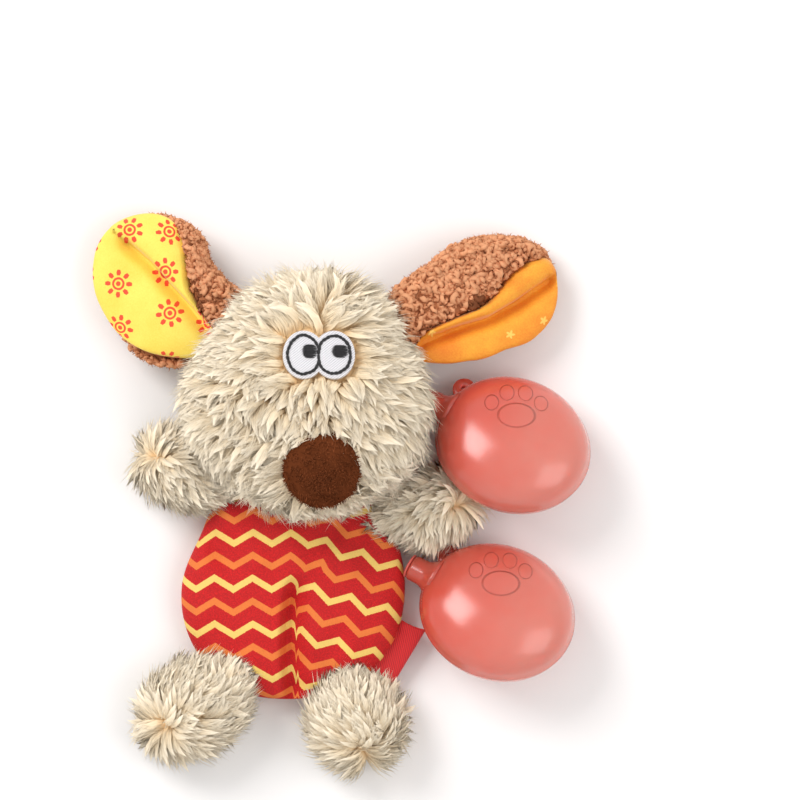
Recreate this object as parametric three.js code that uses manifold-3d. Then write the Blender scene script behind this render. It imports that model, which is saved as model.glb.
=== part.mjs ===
// A small plush dog toy with a squeaker in its head, lying on its back, and its two spare squeakers beside it.
// Millimetres, +Z up. The origin is the middle of the toy's back, on the surface that it lies on.
// +Y points from the feet to the head, and +X to the side with the spare squeakers.
import * as THREE from "three";
import { mergeVertices } from "three/addons/utils/BufferGeometryUtils.js";
import Module from "manifold-3d";

const wasm = await Module();
wasm.setup();

// Shared values
const SEAM_GAP = 0.3; // between two pieces that are sewn or seated together
const OVERRUN = 2; // how far a cutter runs past what it cuts
const FLAT_DEPTH = 0.5; // how much of a soft form is pressed flat where it lies on the surface
const TURN_STEP = 13; // degrees between the positions that a joint's relief is cut at

// Head: two panels of long-pile plush round a pocket that holds the squeaker
const HEAD_HALF_WIDTH = 37.5;
const HEAD_HALF_HEIGHT = 36.9;
const HEAD_FRONT = 22; // height of the face over the side seam
const HEAD_BACK = 20; // depth of the back under the side seam
const HEAD_X = 3.9; // the head leans a little to one side of the body
const CHIN_OVERLAP = 12.3; // how far the chin reaches down over the body
const PLUSH_THICKNESS = 5.4; // backing and pile together
const HEAD_OUTLINE_SHARES = [0.98, 0.93, 1.02, 1, 0.96, 0.9, 0.99, 1, 0.97, 0.99, 1, 1.02];
const HEAD_FULLNESS = 0.62;
const MUZZLE_RISE = 4;
const MUZZLE_SPREAD = 15;
const NECK_REACH_SHARE = 0.78; // of the head's half height: where its back is sewn to the body
const NECK_RANGE = [-35, 25];

// Squeaker pocket: a mouth in the back of the head under a flap that hook-and-loop tape holds shut
const MOUTH_WIDTH = 34;
const MOUTH_HEIGHT = 12;
const MOUTH_Y_SHARE = -0.14; // of the head's half height, from its middle
const MOUTH_RISE = 1.5; // of the mouth over the flap's middle
const FLAP_WIDTH = 42;
const FLAP_HEIGHT = 25;
const FLAP_THICKNESS = 2.2;
const FLAP_CORNER = 4;
const FLAP_LIFT = 0.8; // the flap lies this far inside the back's form
const FLAP_RANGE = [0, 120];
const POUCH_GAP = 0.5; // between the plush and the pouch
const LINER_THICKNESS = 0.8;
const TAPE_WIDTH = 32;
const TAPE_HEIGHT = 5;
const HOOK_THICKNESS = 0.9;
const LOOP_THICKNESS = 0.8;
const TAPE_GAP = 0.1; // between the flap and the tapes
const FLAP_ROOM = 0.5; // between the flap's edge and the back
const TAPE_ROOM = 1.2; // between the tapes' edges and the back
const FLAP_FLOOR = 0.2; // the flap lies this far over the surface
const PROBE = 0.5; // half the distance that a slope is measured over

// Eyes: one stitched patch with two outlines and two pupils
const EYE_HALF_WIDTH = 5.2;
const EYE_HALF_HEIGHT = 6.2;
const EYE_SPACING = 9;
const EYE_BORDER = 1.1;
const EYE_THICKNESS = 1.3;
const EYE_THREAD = 0.8;
const EYE_CLEAR = 6; // how high the pile is parted over the eyes
const THREAD_GAP = 0.1; // under and round stitching
const EYE_X_SHARE = 0.11;
const EYE_Y_SHARE = 0.33;
const PUPIL_RADIUS = 2.5;
const PUPIL_THICKNESS = 0.6;
const PUPIL_X_SHARE = 0.35; // of the eye's half width, towards the side that the dog looks to
const PUPIL_Y_SHARE = 0.15;

// Nose: a short-pile cover over a ball of fibre
const NOSE_HALF_WIDTH = 11.1;
const NOSE_HALF_HEIGHT = 11;
const NOSE_FRONT = 10;
const NOSE_CLOTH = 1.4;
const NOSE_X_SHARE = 0.136;
const NOSE_Y_SHARE = -0.6;
const NOSE_OUTLINE_SHARES = [1, 1.02, 1, 1, 1.04, 1.02, 1, 0.99, 1];
const NOSE_BACK_SHARE = 0.45; // depth behind the nose's middle, as a share of its front
const NOSE_FULLNESS = 0.75;
const NOSE_MOUTH_SHARE = 0.5; // of its width: where the cover is gathered
const NOSE_SINK = 1; // how far the ball's middle lies under the face

// Body: a flat bag of two printed panels
const TORSO_HALF_WIDTH = 33.9;
const TORSO_HALF_HEIGHT = 33.3;
const TORSO_X = -0.3;
const TORSO_Y = 2.7;
const TORSO_SEAM_Z = 6;
const TORSO_FRONT = 9;
const TORSO_CLOTH = 1.8;
const TORSO_OUTLINE_SHARES = [1, 1.03, 1.12, 1, 1.09, 0.95, 0.99, 1.03, 1.05, 1.01, 1.03, 1.02];
const TORSO_FULLNESS = 0.72;
const CREASE_DEPTH = 5;
const CREASE_SPREAD = 4;
const CREASE_BOW = 2;
const CREASE_TOP_SHARE = 0.25; // of the half height: where the fold runs out
const DIMPLE_DEPTH = 2.4;
const DIMPLE_SPREAD = 7;
const DIMPLE_X_SHARE = -0.5;
const DIMPLE_Y_SHARE = 0.4;

// Limbs: plush pouches sewn to the body's side seam. turn is the side of the body that carries the limb and aim is
// the way that it points, both in degrees from +X. Half length, half width and height are shares of the body's half
// height.
const LIMBS = [
  { name: "arm_left", turn: 132, aim: 155, halfLength: 0.495, halfWidth: 0.345, height: 0.51, range: [-35, 30] },
  { name: "arm_right", turn: 38, aim: 10, halfLength: 0.51, halfWidth: 0.345, height: 0.45, range: [-35, 30] },
  { name: "leg_left", turn: 234, aim: 212, halfLength: 0.57, halfWidth: 0.42, height: 0.57, range: [-40, 60] },
  { name: "leg_right", turn: 300, aim: 284, halfLength: 0.51, halfWidth: 0.48, height: 0.57, range: [-40, 60] },
];
const LIMB_FULLNESS = 0.7;
const LIMB_SINK = 5; // how far a limb's rounded root reaches into the seam before it is cut
const LIMB_OUTLINE_SHARES = [1, 1.02, 1.04, 1, 0.96, 0.9, 0.92, 0.9, 0.96, 1, 1.04, 1.02];

// Ears: curly fleece outside and a printed lining inside, with one edge turned over the front.
// turn is the side of the head that carries the ear. reach and wide are its length and width as it lies, as shares of
// the flat ear's, and shift moves it across. folds is the share of the half width where it folds and bends the angle
// that the edge comes round to, both at the head and at the tip.
const EARS = [
  { name: "ear_left", turn: 140, aim: 152, flip: -1, reach: 0.87, wide: 1.05, shift: -0.13, folds: [0.1, 0.1], bends: [105, 55], droop: 0.2, range: [-12, 30] },
  { name: "ear_right", turn: 35, aim: 18.6, flip: 1, reach: 1.06, wide: 0.84, shift: -0.09, folds: [0.1, -0.05], bends: [150, 80], droop: 0.25, range: [-12, 35] },
];
const EAR_LENGTH = 54;
const EAR_HALF_WIDTH = 27;
const EAR_WIDTH_SHARES = [0.6, 0.78, 0.92, 1.0, 1.04, 1.03, 0.93, 0.62];
const EAR_BEND_POWER = 1; // how late along the ear its edge opens out
const EAR_FOLD_RADIUS = 3.4;
const EAR_FLEECE = 4.6;
const EAR_LINING = 1.1;
const EAR_LINING_INSET = 2.2;
const EAR_GAP = 0.6; // between the fleece and the lining
const EAR_ACROSS = [5, 5, 3]; // strips of the flat part, of the fold and of the edge that is turned over
const EAR_ALONG = 9;
const EAR_ARC_SHARE = 0.8; // the most of what is beyond the fold that the fold's arc takes
const EAR_DROOP_POWER = 1.5;
const EAR_RIM_SHARE = 0.4; // thickness at the edge, as a share of the middle
const EAR_OPENING_SHARE = 0.15; // of the length: the ear opens out into its fold over this stretch
const EAR_TIP_SHARE = 0.22; // of the length: how far the rounded tip bows out
const EAR_HINGE_SINK = 1;
const EAR_SINK = 7; // how far the ear starts inside the head's outline before it is cut
const EAR_ROOT_Z = 17;

// Side label: a plain folded ribbon in the body's side seam
const LABEL_WIDTH = 19;
const LABEL_REACH = 6.4;
const LABEL_SINK = 1.5;
const RIBBON = 0.6;
const RIBBON_SPACE = 0.6; // between the ribbon's two leaves
const FOLD_STEPS = 4;
const LABEL_SIDE = -33; // the side of the body that carries the label
const LABEL_TURN = -31;
const LABEL_RANGE = [-50, 50];

// Squeakers: a blow-moulded bulb with a neck, a lug to tie it by, and a whistle pushed into the neck
const BULB_HALF_WIDTH = 21;
const BULB_HALF_THICKNESS = 12.4;
const BULB_WALL = 1;
const BULB_FULLNESS = 0.85;
const BULB_NECK_RADIUS = 3.9;
const BULB_NECK_WALL = 0.9;
const BULB_NECK_LENGTH = 6;
const BULB_NECK_FLARE = 2;
const NECK_ROOM = 1.1; // between a spare squeaker's neck and the plush that moves past it
const LUG_RADIUS = 3.4;
const LUG_THICKNESS = 1.6;
const LUG_REACH = 1.2;
const LUG_HOLE_RADIUS = 0.8;
const LUG_HOLE_SHARE = 1.03; // of the lug's place, outwards
const LUG_TURN = -24; // degrees round the bulb from its neck
const WHISTLE_CLEARANCE = 0.3;
const WHISTLE_LENGTH = 9;
const WHISTLE_WALL = 0.6;
const WHISTLE_FLANGE = 1;
const BULB_END_ROOM = 3.725; // at each end of a squeaker in the pouch, which sets the bulb's length
const NECK_AND_WHISTLE = BULB_NECK_LENGTH + WHISTLE_CLEARANCE + WHISTLE_WALL;
const POUCH_HALF_WIDTH = HEAD_HALF_WIDTH - PLUSH_THICKNESS - POUCH_GAP - LINER_THICKNESS;
const BULB_HALF_LENGTH = POUCH_HALF_WIDTH - BULB_END_ROOM - NECK_AND_WHISTLE / 2;
const REED_LENGTH = 7;
const REED_WIDTH = 2.2;
const REED_THICKNESS = 0.3;
const REED_SIDE = 0.3; // room round the reed
const REED_CHANNEL_WIDTH = 1.2;
const REED_CHANNEL_DEPTH = 0.8;

// Where the spare squeakers lie: each by the end of its neck, one beside the head and one beside the body
const SPARE_TILT = 24;
const SPARE_NECK_TURN = 150;
const SPARE_UPPER_TUCK = 1.06; // of the neck's end in from the head's widest place
const SPARE_UPPER_DROP = 1.27; // of the neck's end under the head's middle
const SPARE_LOWER_GAP = 2.04; // of the neck's end out from the body's widest place
const SPARE_LOWER_RISE = 6.33; // of the neck's end over the body's middle

const material = (color, roughness) => new THREE.MeshStandardMaterial({ color, roughness, metalness: 0 });
const PLUSH = material(0xe6d9ba, 0.95);
const PRINT = material(0xd01a1e, 0.85);
const FLEECE = material(0xb77e58, 0.95);
const YELLOW_LINING = material(0xf0dc5a, 0.85);
const ORANGE_LINING = material(0xf6a51e, 0.85);
const NOSE_PLUSH = material(0x6a3b1e, 0.9);
const FIBRE = material(0xf4f2ec, 1);
const WHITE_THREAD = material(0xf0eff2, 0.6);
const BLACK_THREAD = material(0x17161a, 0.55);
const RIBBON_RED = material(0xc8141b, 0.6);
const TAPE = material(0xe9e2d0, 0.8);
const BULB_PINK = material(0xe4625a, 0.25);
const WHISTLE_WHITE = material(0xeeeae2, 0.45);
const REED_FILM = material(0xd8d4c8, 0.3);

const radians = THREE.MathUtils.degToRad;
const headY = TORSO_Y + TORSO_HALF_HEIGHT + HEAD_HALF_HEIGHT - CHIN_OVERLAP;
const headSeamZ = HEAD_BACK - FLAT_DEPTH;
const mouthY = headY + MOUTH_Y_SHARE * HEAD_HALF_HEIGHT;
const noseX = NOSE_X_SHARE * HEAD_HALF_WIDTH;
const noseY = NOSE_Y_SHARE * HEAD_HALF_HEIGHT;
const reachAll = 2 * (HEAD_HALF_HEIGHT + TORSO_HALF_HEIGHT + HEAD_HALF_WIDTH);

// A closed three.js geometry as a solid that can be cut and joined.
function solidOf(geometry) {
  const bare = geometry.index ? geometry.toNonIndexed() : geometry.clone();
  for (const name of Object.keys(bare.attributes)) {
    if (name !== "position") bare.deleteAttribute(name);
  }
  const merged = mergeVertices(bare);
  return new wasm.Manifold(
    new wasm.Mesh({
      numProp: 3,
      vertProperties: merged.attributes.position.array,
      triVerts: new Uint32Array(merged.index.array),
    }),
  );
}

// A solid as a three.js geometry.
function geometryOf(solid) {
  const { vertProperties, triVerts } = solid.getMesh();
  const geometry = new THREE.BufferGeometry();
  geometry.setAttribute("position", new THREE.BufferAttribute(new Float32Array(vertProperties), 3));
  geometry.setIndex(new THREE.BufferAttribute(new Uint32Array(triVerts), 1));
  return geometry;
}

function meshOf(name, solid, finish) {
  const geometry = geometryOf(solid);
  geometry.computeVertexNormals();
  const mesh = new THREE.Mesh(geometry, finish);
  mesh.name = name;
  return mesh;
}

function moved(solid, matrix) {
  const { vertProperties, triVerts } = solid.getMesh();
  const places = new THREE.BufferAttribute(new Float32Array(vertProperties), 3).applyMatrix4(matrix);
  return new wasm.Manifold(new wasm.Mesh({ numProp: 3, vertProperties: places.array, triVerts }));
}

// A place on the surface plan, turned about the vertical.
const placed = (x, y, z, turn) => new THREE.Matrix4().makeRotationZ(radians(turn)).setPosition(x, y, z);

// A box from one corner to the other.
function block(low, high) {
  const box = new THREE.BoxGeometry(...high.map((value, axis) => value - low[axis]));
  box.translate(...high.map((value, axis) => (value + low[axis]) / 2));
  return solidOf(box);
}

const above = (level) => block([-reachAll, -reachAll, level], [reachAll, reachAll, level + reachAll]);
const below = (level) => block([-reachAll, -reachAll, level - reachAll], [reachAll, reachAll, level]);

// A smooth closed curve in plan through radius shares at even angles.
function polarOutline(shares, halfWidth, halfHeight, grow = 0) {
  const count = shares.length;
  return (angle) => {
    const place = (((angle / (2 * Math.PI)) * count) % count + count) % count;
    const first = Math.floor(place);
    const [a, b, c, d] = [-1, 0, 1, 2].map((step) => shares[(first + step + count) % count]);
    const t = place - first;
    const slope = t * (c - a + t * (2 * a - 5 * b + 4 * c - d + t * (3 * (b - c) + d - a)));
    const share = b + slope / 2;
    return [Math.cos(angle) * (halfWidth * share + grow), Math.sin(angle) * (halfHeight * share + grow)];
  };
}

// A stuffed form: a unit ball whose rim takes an outline and whose poles take the heights in front and behind.
// lift raises the front where the form swells or is creased.
function softForm({ outline, front, back, fullness, sectors, rings, lift = () => 0 }) {
  const ball = new THREE.SphereGeometry(1, sectors, rings).rotateX(Math.PI / 2);
  const points = ball.attributes.position;
  for (let i = 0; i < points.count; i++) {
    const [x, y, z] = [points.getX(i), points.getY(i), points.getZ(i)];
    const reach = Math.hypot(x, y);
    const [rimX, rimY] = outline(Math.atan2(y, x));
    const height = Math.abs(z) ** fullness * (z > 0 ? front : -back);
    const extra = z > 0 ? lift(rimX * reach, rimY * reach) * Math.min(1, 2 * z) : 0;
    points.setXYZ(i, rimX * reach, rimY * reach, height + extra);
  }
  return solidOf(ball);
}

// A smooth rise or dip round a place.
const swell = (x, y, spread) => Math.exp(-(x * x + y * y) / (spread * spread));

// A flat plate of an outline in plan, from one level up to another.
function plate(points, low, high) {
  const shape = new THREE.Shape(points.map(([x, y]) => new THREE.Vector2(x, y)));
  const geometry = new THREE.ExtrudeGeometry(shape, { depth: high - low, bevelEnabled: false });
  return solidOf(geometry.translate(0, 0, low));
}

function ovalPoints(x, y, halfWidth, halfHeight, count) {
  return Array.from({ length: count }, (_, i) => {
    const angle = (2 * Math.PI * i) / count;
    return [x + halfWidth * Math.cos(angle), y + halfHeight * Math.sin(angle)];
  });
}

const OVAL_SIDES = 16;
const ovalPlate = (x, y, halfWidth, halfHeight, low, high) =>
  plate(ovalPoints(x, y, halfWidth, halfHeight, OVAL_SIDES), low, high);

const CORNER_STEPS = 3;
function roundedPoints(width, height, corner) {
  const points = [];
  const corners = [[1, 1], [-1, 1], [-1, -1], [1, -1]];
  corners.forEach(([sideX, sideY], quarter) => {
    for (let i = 0; i <= CORNER_STEPS; i++) {
      const angle = (Math.PI / 2) * (quarter + i / CORNER_STEPS);
      const [cx, cy] = [sideX * (width / 2 - corner), sideY * (height / 2 - corner)];
      points.push([cx + corner * Math.cos(angle), cy + corner * Math.sin(angle)]);
    }
  });
  return points;
}

// Hinges: each is a place, the way that its piece points in plan, and a range. A positive angle lifts the piece.
function turned(solid, hinge, angle) {
  const frame = placed(...hinge.at, hinge.aim);
  const matrix = frame.clone().multiply(new THREE.Matrix4().makeRotationY(-radians(angle)));
  return moved(solid, matrix.multiply(frame.clone().invert()));
}

function anglesOf([low, high]) {
  const down = Math.ceil(-low / TURN_STEP);
  const up = Math.ceil(high / TURN_STEP);
  const lower = Array.from({ length: down }, (_, i) => low * (1 - i / down));
  return [...lower, 0, ...Array.from({ length: up }, (_, i) => (high * (i + 1)) / up)];
}

// What is left of a piece after its neighbour is cut away wherever the piece's own hinge takes it.
function clearTurning(piece, hinge, neighbour) {
  return anglesOf(hinge.range).reduce((left, angle) => left.subtract(turned(neighbour, hinge, -angle)), piece);
}

// What is left of a piece after its neighbour is cut away wherever the neighbour's hinge takes it.
function clearOfTurning(piece, neighbour, hinge) {
  return anglesOf(hinge.range).reduce((left, angle) => left.subtract(turned(neighbour, hinge, angle)), piece);
}

// The largest body of a solid, without the crumbs that a cut leaves.
function mainBody(solid) {
  return solid.decompose().reduce((best, body) => (body.volume() > best.volume() ? body : best));
}

// A squeaker with its neck along +X and its flat faces up and down, round its own middle.
const BULB_SECTORS = 18;
const BULB_RINGS = 9;
const TUBE_SIDES = 12;
function bulbForm(grow) {
  return softForm({
    outline: (angle) => [Math.cos(angle) * (BULB_HALF_LENGTH + grow), Math.sin(angle) * (BULB_HALF_WIDTH + grow)],
    front: BULB_HALF_THICKNESS + grow,
    back: BULB_HALF_THICKNESS + grow,
    fullness: BULB_FULLNESS,
    sectors: BULB_SECTORS,
    rings: BULB_RINGS,
  });
}

// A round rod along +X.
function rod(radius, from, to, endRadius = radius) {
  const tube = new THREE.CylinderGeometry(endRadius, radius, to - from, TUBE_SIDES);
  tube.rotateZ(-Math.PI / 2).translate((from + to) / 2, 0, 0);
  return solidOf(tube);
}

const neckEnd = BULB_HALF_LENGTH + BULB_NECK_LENGTH;
const neckBore = BULB_NECK_RADIUS - BULB_NECK_WALL;
const whistleRadius = neckBore - WHISTLE_CLEARANCE;
const whistleStart = neckEnd - WHISTLE_LENGTH;

function squeaker() {
  const lugMiddle = BULB_HALF_LENGTH + LUG_REACH - LUG_RADIUS / 2;
  const lugAt = [lugMiddle * Math.cos(radians(LUG_TURN)), BULB_HALF_WIDTH / BULB_HALF_LENGTH * lugMiddle * Math.sin(radians(LUG_TURN))];
  const lug = ovalPlate(...lugAt, LUG_RADIUS, LUG_RADIUS, -LUG_THICKNESS / 2, LUG_THICKNESS / 2);
  const lugHoleAt = lugAt.map((value) => value * LUG_HOLE_SHARE);
  const lugHole = ovalPlate(...lugHoleAt, LUG_HOLE_RADIUS, LUG_HOLE_RADIUS, -LUG_THICKNESS, LUG_THICKNESS);
  const shell = bulbForm(0)
    .add(rod(BULB_NECK_RADIUS + BULB_NECK_FLARE, BULB_HALF_LENGTH - BULB_NECK_FLARE, BULB_HALF_LENGTH + BULB_NECK_FLARE, BULB_NECK_RADIUS))
    .add(rod(BULB_NECK_RADIUS, 0, neckEnd))
    .add(lug);
  const bulb = shell
    .subtract(bulbForm(-BULB_WALL))
    .subtract(rod(neckBore, 0, neckEnd + OVERRUN))
    .subtract(lugHole);
  const flange = rod(whistleRadius + WHISTLE_FLANGE, neckEnd + WHISTLE_CLEARANCE, neckEnd + WHISTLE_CLEARANCE + WHISTLE_WALL);
  const channel = block(
    [whistleStart - OVERRUN, -REED_CHANNEL_WIDTH / 2, 0],
    [neckEnd + OVERRUN, REED_CHANNEL_WIDTH / 2, REED_CHANNEL_DEPTH],
  );
  const reedBed = block(
    [whistleStart - OVERRUN, -REED_WIDTH / 2 - REED_SIDE, -REED_THICKNESS - REED_SIDE],
    [whistleStart + REED_LENGTH + REED_SIDE, REED_WIDTH / 2 + REED_SIDE, 0],
  );
  const whistle = rod(whistleRadius, whistleStart, neckEnd + WHISTLE_CLEARANCE + WHISTLE_WALL).add(flange)
    .subtract(channel)
    .subtract(reedBed);
  const reed = block(
    [whistleStart + REED_SIDE, -REED_WIDTH / 2, -REED_THICKNESS - REED_SIDE / 2],
    [whistleStart + REED_LENGTH, REED_WIDTH / 2, -REED_SIDE / 2],
  );
  return { bulb, whistle, reed };
}

function squeakerPieces(prefix, matrix) {
  const { bulb, whistle, reed } = squeaker();
  return [
    [prefix + "_bulb", moved(bulb, matrix), BULB_PINK],
    [prefix + "_whistle", moved(whistle, matrix), WHISTLE_WHITE],
    [prefix + "_reed", moved(reed, matrix), REED_FILM],
  ];
}

// A spare squeaker leans on the surface on its lower face, with the end of its neck over a place.
function spareFrame(x, y) {
  const tilt = new THREE.Matrix4().makeRotationX(-radians(SPARE_TILT));
  const turn = tilt.multiply(new THREE.Matrix4().makeRotationZ(radians(SPARE_NECK_TURN)));
  const box = geometryOf(moved(squeaker().bulb, turn));
  box.computeBoundingBox();
  const tip = new THREE.Vector3(neckEnd, 0, 0).applyMatrix4(turn);
  return turn.clone().setPosition(x - tip.x, y - tip.y, -box.boundingBox.min.z);
}

const upperSpare = spareFrame(HEAD_X + HEAD_HALF_WIDTH - SPARE_UPPER_TUCK, headY - SPARE_UPPER_DROP);
const lowerSpare = spareFrame(TORSO_X + TORSO_HALF_WIDTH + SPARE_LOWER_GAP, TORSO_Y + SPARE_LOWER_RISE);

// The room that a spare squeaker takes, and the room that its neck takes.
const neckWidth = BULB_NECK_RADIUS + NECK_ROOM;
const neckRoom = block([0, -neckWidth, -neckWidth], [neckEnd + WHISTLE_CLEARANCE + WHISTLE_WALL + NECK_ROOM, neckWidth, neckWidth]);
const spareRoom = bulbForm(SEAM_GAP).add(neckRoom);

const HEAD_SECTORS = 24;
const HEAD_RINGS = 14;
const POUCH_SECTORS = 16;
const POUCH_RINGS = 10;
const neck = { at: [HEAD_X, headY - NECK_REACH_SHARE * HEAD_HALF_HEIGHT, TORSO_SEAM_Z], aim: 90, range: NECK_RANGE };

// The head's outer form, grown or shrunk.
function headForm(grow = 0, sectors = HEAD_SECTORS, rings = HEAD_RINGS) {
  const form = softForm({
    outline: polarOutline(HEAD_OUTLINE_SHARES, HEAD_HALF_WIDTH, HEAD_HALF_HEIGHT, grow),
    front: HEAD_FRONT + grow,
    back: HEAD_BACK + grow,
    fullness: HEAD_FULLNESS,
    sectors,
    rings,
    lift: (x, y) => MUZZLE_RISE * swell(x - noseX, y - noseY, MUZZLE_SPREAD),
  });
  return moved(form, placed(HEAD_X, headY, headSeamZ, 0));
}

const TORSO_SECTORS = 28;
const TORSO_RINGS = 16;

// The body's outer form, grown or shrunk, with the fold down its middle.
function torsoForm(grow = 0) {
  const crease = (x, y) => {
    const foldX = CREASE_BOW * Math.sin((Math.PI * y) / TORSO_HALF_HEIGHT);
    const along = Math.min(1, Math.max(0, (CREASE_TOP_SHARE * TORSO_HALF_HEIGHT - y) / DIMPLE_SPREAD));
    return -CREASE_DEPTH * along * swell(x - foldX, 0, CREASE_SPREAD);
  };
  const dimple = (x, y) =>
    -DIMPLE_DEPTH * swell(x - DIMPLE_X_SHARE * TORSO_HALF_WIDTH, y - DIMPLE_Y_SHARE * TORSO_HALF_HEIGHT, DIMPLE_SPREAD);
  const form = softForm({
    outline: polarOutline(TORSO_OUTLINE_SHARES, TORSO_HALF_WIDTH, TORSO_HALF_HEIGHT, grow),
    front: TORSO_FRONT + grow,
    back: TORSO_SEAM_Z + FLAT_DEPTH + grow,
    fullness: TORSO_FULLNESS,
    sectors: TORSO_SECTORS,
    rings: TORSO_RINGS,
    lift: (x, y) => crease(x, y) + dimple(x, y),
  });
  return moved(form, placed(TORSO_X, TORSO_Y, TORSO_SEAM_Z, 0));
}

// Where the head lies over the body it is pressed in by the body at every nod.
const headClear = headForm(SEAM_GAP);
const torsoClear = torsoForm(SEAM_GAP);
const headCut = (solid) => clearTurning(clearTurning(solid, neck, torsoClear), neck, moved(neckRoom, upperSpare));

// Eye patch outline: two ovals side by side.
const EYE_SIDES = [-1, 1];
const eyeX = EYE_X_SHARE * HEAD_HALF_WIDTH;
const eyeY = EYE_Y_SHARE * HEAD_HALF_HEIGHT;

// Height of the head's front over its seam at a place in plan.
function headHeight(x, y) {
  const angle = Math.atan2(y / HEAD_HALF_HEIGHT, x / HEAD_HALF_WIDTH);
  const [rimX, rimY] = polarOutline(HEAD_OUTLINE_SHARES, HEAD_HALF_WIDTH, HEAD_HALF_HEIGHT)(angle);
  const reach = Math.min(1, Math.hypot(x, y) / Math.hypot(rimX, rimY));
  const rise = (1 - reach * reach) ** (HEAD_FULLNESS / 2);
  return HEAD_FRONT * rise + MUZZLE_RISE * swell(x - noseX, y - noseY, MUZZLE_SPREAD);
}

// The frame of something laid on the head's front: its origin on the surface and Z along the surface's normal.
function onHead(x, y) {
  const slopeX = (headHeight(x + PROBE, y) - headHeight(x - PROBE, y)) / (2 * PROBE);
  const slopeY = (headHeight(x, y + PROBE) - headHeight(x, y - PROBE)) / (2 * PROBE);
  const normal = new THREE.Vector3(-slopeX, -slopeY, 1).normalize();
  const turn = new THREE.Quaternion().setFromUnitVectors(new THREE.Vector3(0, 0, 1), normal);
  return new THREE.Matrix4()
    .makeRotationFromQuaternion(turn)
    .setPosition(HEAD_X + x, headY + y, headSeamZ + headHeight(x, y));
}

const eyeFrame = onHead(eyeX, eyeY);
const eyeOval = (side, grow, low, high) =>
  ovalPlate((side * EYE_SPACING) / 2, 0, EYE_HALF_WIDTH + grow, EYE_HALF_HEIGHT + grow, low, high);

function eyes() {
  const base = -EYE_THICKNESS / 2;
  const top = EYE_THICKNESS / 2;
  const both = (grow, low, high) => eyeOval(EYE_SIDES[0], grow, low, high).add(eyeOval(EYE_SIDES[1], grow, low, high));
  const pocket = both(EYE_BORDER + SEAM_GAP, base - SEAM_GAP, top + EYE_CLEAR);
  const groove = EYE_THREAD / 2;
  let patch = both(EYE_BORDER, base, top);
  const pieces = [];
  // The right eye's outline runs all round and the left one's stops where they meet.
  const ring = (side, grow, low, high) =>
    eyeOval(side, grow, low, high).subtract(eyeOval(side, -EYE_THREAD - grow, low - OVERRUN, high + OVERRUN));
  const right = ring(1, 0, top - groove, top + groove);
  const left = ring(-1, 0, top - groove, top + groove).subtract(eyeOval(1, SEAM_GAP, base, top + OVERRUN));
  patch = patch.subtract(ring(1, SEAM_GAP / 2, top - groove - THREAD_GAP, top + OVERRUN));
  patch = patch.subtract(ring(-1, SEAM_GAP / 2, top - groove - THREAD_GAP, top + OVERRUN));
  pieces.push(["eye_outline_right", mainBody(right), BLACK_THREAD], ["eye_outline_left", mainBody(left), BLACK_THREAD]);
  for (const side of EYE_SIDES) {
    const x = (side * EYE_SPACING) / 2 + PUPIL_X_SHARE * EYE_HALF_WIDTH;
    const y = PUPIL_Y_SHARE * EYE_HALF_HEIGHT;
    const pupil = ovalPlate(x, y, PUPIL_RADIUS, PUPIL_RADIUS, top - groove, top + PUPIL_THICKNESS / 2);
    const bed = ovalPlate(x, y, PUPIL_RADIUS + THREAD_GAP, PUPIL_RADIUS + THREAD_GAP, top - groove - THREAD_GAP, top + OVERRUN);
    patch = patch.subtract(bed);
    const outline = side > 0 ? eyeOval(1, SEAM_GAP, base, top + OVERRUN).subtract(eyeOval(1, -EYE_THREAD - SEAM_GAP, base - OVERRUN, top + 2 * OVERRUN)) : eyeOval(1, SEAM_GAP, base, top + OVERRUN);
    pieces.push([side > 0 ? "pupil_right" : "pupil_left", mainBody(pupil.subtract(outline)), BLACK_THREAD]);
  }
  pieces.push(["eye_patch", mainBody(patch), WHITE_THREAD]);
  return { pocket: moved(pocket, eyeFrame), pieces: pieces.map(([name, solid, finish]) => [name, moved(solid, eyeFrame), finish]) };
}

const NOSE_SECTORS = 16;
const NOSE_RINGS = 8;
const noseFrame = onHead(noseX, noseY);
function noseBall(grow) {
  const ball = softForm({
    outline: polarOutline(NOSE_OUTLINE_SHARES, NOSE_HALF_WIDTH, NOSE_HALF_HEIGHT, grow),
    front: NOSE_FRONT + grow,
    back: NOSE_FRONT * NOSE_BACK_SHARE + grow,
    fullness: NOSE_FULLNESS,
    sectors: NOSE_SECTORS,
    rings: NOSE_RINGS,
  });
  return moved(ball, noseFrame.clone().multiply(new THREE.Matrix4().makeTranslation(0, 0, -NOSE_SINK)));
}

// The nose's cover is gathered to a mouth at its back, where it is sewn to the face.
function nose() {
  const mouth = moved(
    ovalPlate(0, 0, NOSE_HALF_WIDTH * NOSE_MOUTH_SHARE, NOSE_HALF_HEIGHT * NOSE_MOUTH_SHARE, -NOSE_FRONT - OVERRUN, -NOSE_SINK),
    noseFrame,
  );
  const cover = noseBall(0).subtract(noseBall(-NOSE_CLOTH)).subtract(mouth);
  return [["nose_cover", mainBody(cover), NOSE_PLUSH], ["nose_filling", noseBall(-NOSE_CLOTH - SEAM_GAP), FIBRE]];
}

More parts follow.
